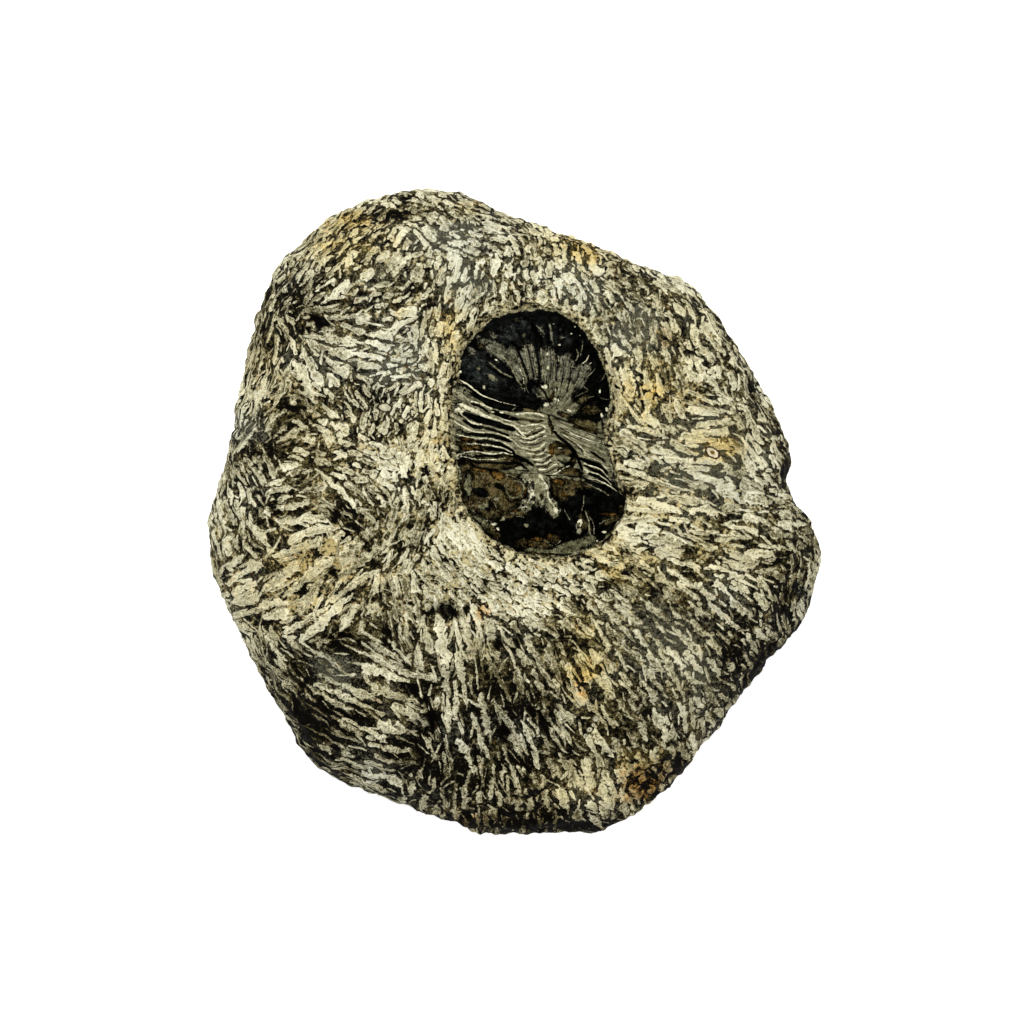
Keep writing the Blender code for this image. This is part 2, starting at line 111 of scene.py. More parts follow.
# How far the top dips towards the hollow, by bearing in degrees.
DIPS = (
    (0, 2.6), (45, 2.0), (90, 1.6), (135, 2.0), (180, 2.8), (225, 3.6), (255, 4.6), (290, 5.0), (325, 3.6),
)  # fmt: skip
DIP_WIDTH = 9.0
# The stone laps over the plates' edges: how far in from the top of the hollow's wall, and its height there.
LIP_WIDTH, LIP_HEIGHT = 1.25, 1.7
LIP_DROP, DROP_WIDTH = 1.2, 0.6  # how far the stone drops within the lip, and over what width

# ---- The shell, as in the solid model ----------------------------------------------------------------------

GAP = 0.3
TAIL_APEX = (6.5, 19.3)
TAIL_OUTER = (
    (-9.2, 24.4), (-8.2, 28.5), (-6.0, 31.1), (-3.0, 33.5), (0.4, 34.7), (4.9, 35.1), (8.0, 34.5),
    (11.3, 32.3), (13.9, 29.0), (15.8, 25.2), (16.8, 21.8), (17.2, 19.2), (16.6, 16.6), (15.8, 14.3),
)  # fmt: skip
TAIL_SKIRT = ((14.0, 6.0), (6.0, 2.0), (-4.0, 6.0), (-9.5, 15.0))
TAIL_RIM, TAIL_RISE, TAIL_DOME = 1.4, 3.6, 1.8
FAN_CENTRE = (6.9, 16.6)  # where the ribs' lines meet
TAIL_RIBS, RIB_RELIEF, RIB_ONSET = 15, 0.2, 4.0
TAIL_FAN = (-15, 178)
RIB_CURL, CURL_BEARINGS = 22, (80, 150)  # in degrees: how far the left ribs bend, and where that sets in
TAIL_AXIS, TAIL_AXIS_RISE = (5.6, 20.4, 2.6, 1.6, 100), 0.9  # an oval, as in the tables of patches
TAIL_GRAIN = ((2.2, 0.14, 5.0), (0.7, 0.06, 2.0))
HEAD_CENTRE = (5.8, -0.9)
HEAD_OUTER = (
    (-9.1, 7.5), (-8.8, 3.8), (-8.2, 0.7), (-6.3, -1.9), (-3.7, -4.3), (-1.5, -5.8), (1.5, -7.1),
    (5.8, -7.8), (9.2, -7.6), (13.6, -6.2), (16.8, -3.8), (18.9, -1.0), (19.5, 1.2), (18.9, 2.4),
)  # fmt: skip
HEAD_SKIRT = ((19.0, 7.0), (12.0, 12.0), (0.0, 14.0), (-10.0, 12.0))
HEAD_RIM, HEAD_RISE, HEAD_DOME = 1.3, 2.4, 2.2
# The glabella, the eyes and the cheeks: x, y, half length, half width, bearing of the length, height.
HEAD_LOBES = (
    (6.2, 3.0, 4.2, 2.0, -65, 2.2),
    (7.6, -1.6, 3.4, 3.2, -60, 1.8),
    (1.0, 3.8, 2.1, 1.9, 0, 1.7),
    (14.6, 1.6, 3.2, 2.0, -12, 2.0),
    (2.0, -2.4, 2.8, 2.2, 20, 1.0),
    (12.0, -3.4, 2.6, 2.0, 25, 0.9),
    (-5.4, 3.8, 2.4, 2.8, 60, 0.7),
)
WHORL, WHORL_RIDGES = (0.4, 3.5), ((2.5, 0.3), (1.2, 0.25))  # on the left cheek: radius, and height and width
HEAD_GRAIN = ((2.4, 0.35, 8.0), (0.9, 0.22, 3.0), (0.4, 0.09, 1.0))
RIM_ANGLE = math.radians(62)  # the rims where shields and thorax meet are sharper than this
SAND_REACH = (-2.2, -1.1)  # where sand from the stone clings to the shell's edge
COLLAR_WIDTH = 1.6  # how far over the head its rear edge stays as high as the thorax
LEFT_TIPS = ((-9.3, 22.3), (-10.2, 18.2), (-10.2, 13.6), (-9.5, 8.9))
LEFT_FURROW = ((0.9, 18.2), (-0.2, 14.9), (0.4, 11.2), (2.9, 6.6))
RIGHT_FURROW = ((7.4, 16.4), (8.8, 13.2), (10.8, 9.8), (12.0, 6.2))
RIGHT_TIPS = ((15.4, 13.3), (16.3, 10.2), (17.3, 6.9), (18.3, 3.4))
FURROW_STATIONS = (-0.36, 0.3)
SEGMENTS = 10
MARGIN_STATIONS = (0.93, 0.8, 0.62, 0.45, 0.3, 0.1, -0.1, -0.36, -0.5, -0.65, -0.8, -0.93)
MARGIN_CLEARANCE = 0.002
PLEURA_BOW = 0.8  # how far the left pleurae sag
PLEURA_RISE = (2.0, 3.8)  # at their tips, and at the axis
FURROW_DEPTH, FURROW_WIDTH = 0.5, 0.08
AXIS_RISE = 5.3
CREST_DROP = 0.5  # how far under the crests' height the segments' rounding starts
SEGMENT_ROUNDING = 0.45
RIDGE_PLACE, RIDGE_WIDTH, RIDGE_RISE = 0.2, 0.13, 0.2  # the ridge along each pleura, across the segment
RIDGE_SHIFT = ((2.4, 0.1, 3.0), (0.8, 0.05, 5.0))
SEGMENT_GRAIN = ((2.6, 0.22, 4.0), (0.8, 0.12, 7.0), (0.4, 0.05, 2.0))
STRIP_REACH = (-1.04, 1.03)  # a segment's ends lie under the stone
STRIP_COLUMNS, STRIP_ROWS = 190, 13
STRIP_OVERLAP = 0.04  # how far a segment runs on under the next, as a share of its length

# ---- The shell's finish ------------------------------------------------------------------------------------

REACH_OUT = 0.55  # how far a plate's outer edge runs on under the stone that holds it
PLATE_PITCH = 0.14
EDGE_PITCH = 1.3 * PLATE_PITCH
CRUST = 0.13  # how far the pale crusts stand over the black shell
TINTS = ("slate", "umber", "worn", "olive", "rust", "ash", "bone")
# Patches of tint, each laid over the last: tint, x, y, half length, half width, bearing of the length and
# strength. Lines of tint, laid over the patches: tint, half width, strength, and the points they run through.
# Black uncovers the bare shell.
TAIL_PATCHES = (
    ("slate", -5.2, 24.2, 5, 3, -35, 1.15), ("olive", -5.6, 24.6, 1.4, 0.7, -35, 0.5),
    ("slate", 0, 30.8, 5, 2.6, 30, 0.8), ("slate", 2, 21, 3.4, 1.8, 0, 0.8),
    ("slate", 8, 30, 3.5, 2.5, -50, 0.7), ("worn", -5, 29.2, 2.4, 1.3, -42, 0.62),
    ("worn", -6.9, 27.6, 1.5, 0.9, -40, 0.55), ("olive", 0.8, 32.9, 1, 0.7, -30, 0.55),
    ("worn", 5.2, 31, 2, 1, 100, 0.55), ("olive", 1.9, 30.3, 0.9, 0.7, 0, 0.6),
    ("worn", 8.6, 30, 1.8, 0.8, 70, 0.5), ("umber", -5.2, 28.2, 1.6, 0.7, -40, 0.6),
    ("worn", -2.4, 27.5, 2.8, 1.6, -42, 1), ("worn", 0.6, 25.6, 3.2, 1.6, -60, 1.15),
    ("worn", 3.2, 25.9, 3.5, 1.7, -80, 1.15), ("worn", 6, 24.9, 3.6, 1.9, 90, 1.15),
    ("worn", 8.8, 23.6, 3.8, 1.8, 80, 1.15), ("worn", 11.4, 22.9, 3.2, 1.6, 60, 1.05),
    ("worn", -3.2, 30.3, 1.2, 0.7, -50, 0.7), ("worn", 12.8, 24.8, 1.2, 0.9, 40, 0.7),
    ("ash", 7.6, 20.8, 3.4, 2.1, 10, 1.15), ("ash", 8.8, 18.4, 3.2, 1.5, -20, 1.15),
    ("ash", 6.4, 17.2, 2.2, 1.4, 0, 1), ("ash", -3.4, 23.1, 1.1, 0.6, -25, 0.9),
    ("ash", 10.9, 17.8, 1.1, 0.6, -10, 0.95), ("ash", 9, 15.6, 2, 0.8, -30, 1),
    ("umber", 8.8, 16.6, 1.4, 0.5, -20, 0.8), ("umber", 6.6, 19, 0.7, 0.5, 0, 0.7),
    ("rust", 6.9, 20, 1.3, 0.5, 60, 0.6), ("bone", 5.7, 21.5, 0.9, 0.6, 0, 0.75),
    ("bone", 7.4, 21.1, 1.1, 0.5, 10, 0.7), ("bone", 7.7, 19.3, 0.9, 0.5, -30, 0.75),
    ("bone", 6, 18.4, 0.9, 0.5, 20, 0.75), ("bone", 9.6, 17.5, 0.8, 0.3, -20, 0.75),
    ("umber", 13.4, 17.4, 2.2, 1.2, 0, 0.8), ("umber", 12.4, 19.3, 1.8, 0.8, 20, 0.7),
    ("umber", 13, 14.7, 3.2, 1, -15, 1.3), ("olive", 11.3, 14.5, 1.6, 0.5, -20, 0.9),
    ("olive", 15.3, 14.6, 1, 1.3, 0, 0.8), ("ash", 16.8, 14.8, 1.3, 2.2, 10, 1.1),
    ("bone", 16.9, 15.2, 0.9, 1.9, 10, 0.75), ("bone", 16.3, 17.7, 0.28, 0.45, 0, 1.1),
    ("bone", 15.4, 16.6, 0.25, 0.5, 10, 0.9), ("bone", 15.1, 20.8, 0.2, 0.45, 0, 0.9),
    ("bone", 6, 27.1, 0.26, 0.26, 0, 1), ("bone", 6.1, 24.7, 0.34, 0.34, 0, 1.2),
    ("bone", 8.1, 28.6, 0.3, 0.2, 0, 1), ("bone", 7.1, 32.4, 0.3, 0.16, 0, 0.7),
    ("bone", 10.3, 30.6, 0.2, 0.18, 0, 1), ("bone", 10.8, 31.8, 0.14, 0.14, 0, 1),
    ("bone", 11.6, 30.3, 0.14, 0.14, 0, 0.9), ("bone", -2.7, 26.2, 0.24, 0.22, 0, 1.1),
    ("bone", -4.8, 21.5, 0.3, 0.42, 20, 0.9), ("bone", -8.9, 24.1, 0.28, 0.28, 0, 1.2),
    ("black", 3, 21.3, 1.6, 0.5, 60, 0.9), ("black", -7.4, 20.9, 1.2, 0.3, -35, 0.6),
)  # fmt: skip
TAIL_LINES = (
    ("black", 0.2, 1.0, (-4.6, 25.2), (-2.6, 24.0), (-0.6, 22.6), (1.0, 21.2)),
    ("black", 0.2, 1.0, (-3.4, 27.0), (-1.5, 25.5), (0.2, 23.6), (1.3, 22.0)),
    ("black", 0.22, 1.0, (0.7, 28.2), (1.7, 26.1), (2.3, 24.4), (2.8, 22.8)),
    ("black", 0.16, 1.0, (2.6, 28.6), (3.2, 26.2), (3.5, 24.6), (3.8, 22.9)),
    ("black", 0.22, 1.1, (3.9, 28.8), (4.4, 26.4), (4.7, 24.4), (4.7, 22.6)),
    ("black", 0.1, 0.9, (6.6, 27.6), (6.7, 25.0), (6.4, 22.8)),
    ("black", 0.1, 0.9, (7.7, 27.0), (7.8, 24.6), (7.7, 22.4)),
    ("black", 0.1, 0.9, (8.8, 26.4), (8.7, 23.6), (8.5, 21.8)),
    ("black", 0.12, 0.9, (10.2, 25.4), (9.8, 22.6), (9.4, 20.4)),
    ("black", 0.16, 0.9, (11.6, 24.0), (10.8, 21.8), (10.1, 20.2)),
    ("black", 0.14, 0.9, (13.4, 22.6), (11.8, 20.8), (10.6, 19.4)),
    ("black", 0.14, 0.8, (4.9, 21.4), (5.9, 20.0), (6.6, 18.2)),
    ("black", 0.1, 0.7, (8.4, 20.8), (7.9, 19.8), (7.5, 18.4)),
    ("ash", 0.26, 0.8, (-4.0, 25.7), (-2.7, 24.7), (-1.3, 23.7), (0.0, 23.1)),
    ("ash", 0.3, 0.85, (-2.1, 27.3), (-0.9, 25.9), (0.1, 24.5), (1.0, 22.8), (1.9, 21.1)),
    ("ash", 0.3, 0.85, (0.6, 27.0), (1.4, 25.4), (2.1, 23.6), (2.6, 22.2)),
    ("ash", 0.2, 0.95, (2.0, 28.7), (2.5, 26.6), (2.9, 24.6), (3.3, 23.0)),
    ("ash", 0.24, 0.95, (3.3, 28.8), (3.7, 26.9), (4.0, 25.4), (4.3, 23.8)),
    ("ash", 0.2, 0.85, (5.0, 28.1), (5.1, 26.6), (5.2, 24.6), (5.1, 22.5)),
    ("ash", 0.2, 0.85, (5.7, 27.6), (5.8, 25.4), (5.6, 22.3)),
    ("ash", 0.2, 0.9, (7.2, 27.2), (7.3, 24.6), (7.3, 22.3)),
    ("ash", 0.2, 0.9, (7.9, 26.8), (8.2, 24.6), (8.1, 22.3)),
    ("ash", 0.2, 0.85, (9.3, 25.2), (9.1, 22.3), (8.9, 20.4)),
    ("ash", 0.16, 0.85, (11.6, 23.2), (10.5, 21.1), (9.8, 19.4)),
    ("bone", 0.08, 0.8, (1.2, 24.9), (2.0, 22.9), (2.2, 20.8)),
    ("bone", 0.08, 0.7, (3.7, 27.6), (3.9, 25.6), (4.2, 24.1)),
    ("bone", 0.07, 0.7, (7.9, 26.3), (8.2, 24.4)),
    ("ash", 0.1, 0.8, (2.6, 23.4), (2.4, 21.6), (2.8, 20.5)),
    ("worn", 0.3, 0.8, (6.5, 32.2), (6.8, 30.4), (7.1, 28.5)),
    ("worn", 0.14, 0.8, (4.1, 32.2), (5.6, 30.4)),
    ("ash", 0.15, 0.9, (11.1, 28.0), (11.3, 27.0), (10.9, 26.1), (9.9, 25.6)),
    ("ash", 0.1, 0.8, (12.0, 29.3), (12.0, 27.9), (11.6, 26.6)),
    ("bone", 0.16, 0.9, (13.2, 26.8), (12.8, 26.0), (12.1, 25.4)),
    ("bone", 0.09, 0.9, (13.6, 25.6), (13.0, 25.0)),
    ("ash", 0.11, 0.9, (14.2, 24.6), (13.5, 23.7), (12.6, 22.9)),
    ("ash", 0.11, 0.9, (12.6, 22.9), (12.2, 21.7), (13.0, 20.9), (12.2, 20.4), (11.0, 19.8)),
    ("ash", 0.12, 0.9, (9.6, 25.0), (11.2, 24.6), (12.0, 24.2), (12.6, 23.4)),
    ("ash", 0.1, 0.8, (16.0, 23.9), (15.5, 22.7), (14.7, 22.3)),
    ("ash", 0.12, 0.8, (14.1, 19.9), (13.2, 19.6), (12.2, 19.0)),
    ("ash", 0.1, 0.9, (14.8, 20.3), (15.5, 19.4), (17.0, 19.4)),
    ("bone", 0.13, 1.2, (-9.4, 22.9), (-7.7, 21.9), (-6.4, 20.9), (-4.9, 19.9), (-3.3, 19.3)),
    ("bone", 0.08, 1.0, (-3.3, 19.3), (-1.6, 18.8), (0.0, 18.4), (1.1, 18.1)),
)  # fmt: skip
THORAX_PATCHES = (
    ("ash", 3, 12.5, 17, 8, -20, 1.3), ("olive", -9.2, 12.8, 2.4, 1.4, -10, 0.95),
    ("umber", -6, 11.4, 4.4, 1, -3, 1.1), ("umber", -3, 8.6, 5, 1.4, 0, 1.1),
    ("rust", -8, 12.6, 1.8, 0.5, -8, 0.7), ("rust", -7.4, 11, 2.4, 0.6, 0, 0.75),
    ("olive", -9.6, 10.8, 0.9, 0.9, 0, 0.8), ("olive", -7.4, 21, 1.8, 0.5, -40, 0.7),
    ("rust", -9.3, 18.1, 0.35, 0.3, 0, 0.9), ("bone", -8.9, 17.6, 1.4, 1.4, -30, 0.7),
    ("bone", -9.6, 9.6, 1.2, 0.8, 0, 0.75), ("umber", 3.2, 17.6, 2, 0.6, 0, 1),
    ("rust", 4.9, 17.1, 0.9, 0.3, 0, 0.8), ("rust", 4.6, 15.5, 1.6, 0.3, 0, 0.7),
    ("bone", 1.3, 17.8, 0.32, 0.36, 0, 1), ("umber", 6.6, 14.9, 0.5, 1.1, 20, 0.75),
    ("umber", 8.9, 10, 2.6, 1.3, -48, 1.4), ("rust", 6.7, 10.4, 0.5, 1.4, 0, 1),
    ("black", 9, 8.6, 1.5, 0.6, -30, 1), ("olive", 8.8, 9.2, 1.3, 0.7, -10, 1.1),
    ("ash", 9.1, 9.1, 0.5, 0.35, 0, 0.7), ("umber", 9.9, 6.9, 2.2, 0.8, -10, 1.2),
    ("bone", 8.3, 11, 0.5, 0.16, 0, 1), ("bone", 5.1, 6.2, 0.6, 0.16, -50, 1.2),
    ("bone", 13, 6.7, 0.35, 0.2, -30, 1), ("umber", 13.2, 14.2, 2.6, 0.6, -12, 1.2),
    ("olive", 15.3, 13.2, 1.2, 0.8, -20, 0.8), ("bone", 17, 11, 1, 2.2, 15, 0.85),
    ("bone", 18.3, 6.2, 0.8, 1.8, 15, 0.85),
)  # fmt: skip
THORAX_LINES = (
    # the bare shell between the pleurae on the left, the furrow on the right, and the right pleurae
    ("black", 0.74, 1.4, (-6.4, 20.2), (-4.5, 19.2), (-3.2, 18.5), (-1.4, 18.0), (0.4, 17.8), (1.6, 17.6)),
    ("black", 0.2, 1.2, (-7.0, 18.6), (-5.8, 18.1), (-4.8, 17.6), (-3.9, 17.0)),
    ("black", 0.42, 1.3, (-3.5, 17.3), (-1.8, 16.6), (-0.6, 16.2), (0.9, 15.8)),
    ("black", 0.56, 1.5, (-8.2, 16.8), (-6.6, 16.2), (-5.0, 15.6), (-3.4, 15.2), (-1.8, 14.8), (0.2, 14.1)),
    ("black", 0.34, 1.3, (-8.3, 15.7), (-7.2, 15.1), (-6.2, 14.7), (-4.9, 14.5)),
    ("black", 0.32, 1.2, (-4.6, 14.4), (-3.4, 14.1), (-2.2, 13.8), (-0.6, 13.1)),
    ("black", 0.36, 1.3, (-7.3, 13.5), (-5.3, 13.2), (-3.5, 13.1), (-1.6, 12.6), (-0.2, 12.1)),
    ("black", 0.28, 1.2, (-5.9, 12.2), (-4.2, 12.0), (-2.4, 11.8), (-0.7, 11.0), (0.5, 10.2)),
    ("black", 0.32, 1.3, (-4.4, 10.9), (-2.9, 10.8), (-1.1, 10.4), (0.2, 9.8), (1.3, 9.3), (2.6, 8.7),
     (3.6, 7.9)),
    ("black", 0.2, 1.1, (-5.4, 9.7), (-4.2, 9.65), (-2.4, 9.55)),
    ("black", 0.26, 1.0, (-6.5, 8.6), (-4.0, 8.5), (-1.1, 8.4), (1.1, 8.4), (2.4, 7.4)),
    ("umber", 0.26, 0.9, (5.9, 17.3), (6.4, 16.3)), ("black", 0.16, 0.9, (6.2, 16.5), (6.8, 15.3)),
    ("umber", 0.36, 0.9, (6.5, 15.3), (6.9, 14.5), (6.8, 13.4)),
    ("black", 0.3, 1.1, (6.9, 14.2), (7.9, 12.9), (9.4, 11.9), (10.7, 10.3), (11.4, 8.8), (12.0, 7.2)),
    ("black", 0.2, 1.2, (13.5, 10.3), (14.5, 9.7), (15.4, 9.0), (15.9, 8.5)),
    ("black", 0.4, 1.3, (11.6, 9.2), (13.0, 8.7), (14.5, 8.1), (15.5, 7.3), (16.3, 6.6)),
    ("black", 0.28, 1.2, (12.4, 7.9), (13.8, 7.3), (15.2, 6.6), (16.0, 5.9), (16.8, 5.1)),
    ("black", 0.26, 1.2, (13.2, 6.5), (14.5, 6.1), (15.8, 5.3), (16.7, 4.5)),
    ("black", 0.16, 1.1, (14.3, 5.0), (15.6, 4.5), (16.9, 4.1)),
    # the brown lines below, between the ridges of the axis and of the right pleurae, are painted shade in the
    # furrows
    ("umber", 0.2, 0.9, (1.0, 15.9), (3.0, 15.7), (5.2, 15.6)),
    ("umber", 0.16, 1.0, (0.6, 14.2), (1.4, 13.3), (2.8, 13.1), (4.4, 13.7), (5.6, 14.4)),
    ("umber", 0.14, 1.0, (1.2, 12.8), (2.6, 12.4), (4.0, 12.4), (5.6, 13.4)),
    ("umber", 0.14, 1.0, (1.6, 11.7), (3.0, 11.4), (4.4, 11.6), (5.8, 12.4)),
    ("umber", 0.14, 1.0, (2.2, 10.6), (3.4, 10.3), (4.8, 10.4), (5.9, 11.2)),
    ("umber", 0.14, 1.0, (3.0, 9.4), (4.8, 9.5), (6.2, 10.3)),
    ("umber", 0.12, 1.0, (3.6, 8.5), (5.3, 8.6), (6.8, 9.6)),
    ("umber", 0.12, 1.0, (4.2, 7.7), (5.8, 7.9), (7.2, 8.7)),
    ("umber", 0.12, 1.0, (4.4, 6.9), (6.2, 6.9), (7.8, 7.7)),
    ("umber", 0.14, 0.9, (8.2, 14.3), (10.0, 13.6), (12.0, 12.6), (14.4, 12.1)),
    ("umber", 0.12, 0.9, (8.6, 13.0), (10.4, 12.0), (11.8, 10.8), (12.2, 9.9)),
    # the pale edges of the left pleurae
    ("bone", 0.24, 0.85, (-7.0, 19.0), (-5.8, 18.6), (-4.4, 18.1), (-3.1, 17.6)),
    ("ash", 0.1, 1.1, (-3.3, 17.7), (-2.0, 17.3), (-1.0, 17.2), (0.4, 16.9)),
    ("bone", 0.2, 0.9, (-4.1, 17.3), (-3.2, 17.1)), ("bone", 0.16, 0.8, (-2.2, 17.1), (-1.5, 16.9)),
    ("ash", 0.1, 1.0, (-0.6, 16.1), (0.0, 16.6)), ("ash", 0.14, 1.1, (0.0, 17.4), (0.6, 17.8)),
    ("bone", 0.5, 0.9, (-9.0, 18.4), (-7.4, 17.8), (-6.2, 17.3), (-5.0, 16.7), (-3.9, 16.3)),
    ("bone", 0.2, 1.05, (-4.2, 16.3), (-2.6, 15.8), (-1.0, 15.2), (0.4, 14.6), (1.6, 13.5), (2.4, 12.8)),
    ("bone", 0.1, 0.9, (-2.2, 16.1), (-1.0, 15.8), (0.2, 15.4), (1.6, 15.0)),
    ("bone", 0.19, 0.9, (-9.4, 17.5), (-8.2, 16.3), (-7.0, 15.4), (-5.8, 15.1), (-4.6, 14.9)),
    ("ash", 0.18, 1.1, (-5.0, 14.9), (-3.6, 14.6), (-2.2, 14.1), (-0.8, 13.6), (0.6, 13.4), (1.4, 12.9)),
    ("bone", 0.15, 1.05, (-10.0, 15.8), (-9.0, 15.0), (-7.6, 14.2), (-6.2, 13.8), (-4.9, 13.7)),
    ("bone", 0.15, 1.05, (-5.2, 13.7), (-3.4, 13.5), (-1.8, 13.2), (-0.4, 12.6), (0.5, 11.9), (1.4, 10.9)),
    ("bone", 0.14, 0.95, (-9.7, 13.4), (-7.9, 13.0), (-6.2, 12.7), (-4.9, 12.6), (-3.3, 12.5)),
    ("bone", 0.13, 1.0, (-3.3, 12.5), (-2.0, 12.1), (-0.7, 11.6), (0.3, 10.8)),
    ("bone", 0.17, 0.85, (-7.6, 11.8), (-6.4, 11.7), (-4.6, 11.5), (-2.9, 11.3), (-1.1, 10.8), (0.0, 10.2)),
    ("bone", 0.18, 0.85, (-9.7, 9.7), (-7.5, 10.3), (-5.7, 10.3), (-3.8, 10.0), (-1.6, 10.1), (0.2, 9.8)),
    ("bone", 0.13, 0.8, (-8.6, 9.5), (-6.8, 9.1), (-5.1, 9.1), (-2.9, 9.0), (-1.1, 9.2)),
    # the ridges of the axis
    ("bone", 0.26, 0.9, (0.6, 16.7), (2.4, 16.9), (4.2, 16.8), (5.4, 16.3)),
    ("bone", 0.26, 0.8, (0.2, 15.3), (2.0, 14.8), (3.7, 15.0), (5.0, 15.0), (5.9, 14.3)),
    ("bone", 0.22, 0.8, (0.2, 14.7), (1.1, 13.9), (2.4, 13.5), (3.7, 14.1), (5.0, 14.5)),
    ("bone", 0.24, 0.9, (0.6, 13.4), (2.0, 12.8), (3.3, 12.8), (4.2, 13.2), (5.7, 14.0)),
    ("bone", 0.2, 0.8, (1.1, 12.3), (2.4, 12.0), (3.7, 12.0), (4.6, 12.5), (5.9, 13.1)),
    ("bone", 0.26, 0.9, (1.5, 11.1), (2.4, 10.8), (3.7, 10.7), (4.8, 11.0), (5.7, 11.7)),
    ("bone", 0.22, 0.85, (2.4, 10.1), (3.7, 9.9), (5.0, 10.0), (5.9, 10.8)),
    ("bone", 0.2, 0.9, (3.3, 8.9), (4.6, 9.0), (5.7, 9.4), (6.6, 9.9)),
    ("bone", 0.2, 0.9, (3.9, 8.1), (5.3, 8.2), (6.4, 8.7), (7.0, 9.3)),
    ("bone", 0.18, 0.9, (4.4, 7.3), (5.9, 7.4), (7.0, 7.9), (7.9, 8.2)),
    ("bone", 0.16, 0.85, (4.6, 6.4), (5.9, 6.2), (7.5, 6.6), (8.8, 7.5), (9.9, 7.8)),
    # the right pleurae
    ("bone", 0.1, 0.9, (7.6, 14.9), (9.2, 14.1), (10.8, 13.2), (12.6, 12.5), (15.8, 11.7)),
    ("bone", 0.1, 0.9, (7.0, 14.1), (9.0, 13.1), (10.8, 12.0), (12.1, 10.9), (12.7, 9.9)),
    ("ash", 0.12, 0.9, (8.9, 14.9), (11.2, 14.1), (13.4, 13.4), (14.5, 13.1)),
    ("bone", 0.12, 0.9, (12.3, 9.8), (14.1, 9.1), (15.4, 8.3), (16.3, 7.4)),
    ("bone", 0.12, 1.0, (12.0, 8.4), (13.4, 7.95), (14.6, 7.6), (15.6, 7.0), (16.5, 6.0)),
    ("bone", 0.12, 1.0, (12.3, 7.2), (13.4, 6.9), (14.7, 6.5), (16.0, 5.6), (17.0, 4.7)),
    ("bone", 0.12, 1.0, (13.0, 5.8), (14.5, 5.5), (16.0, 4.8), (17.4, 4.0), (18.2, 3.4)),
    ("bone", 0.1, 0.9, (9.0, 5.8), (11.2, 5.7), (13.0, 5.3), (14.9, 4.2), (16.7, 3.8)),
)  # fmt: skip
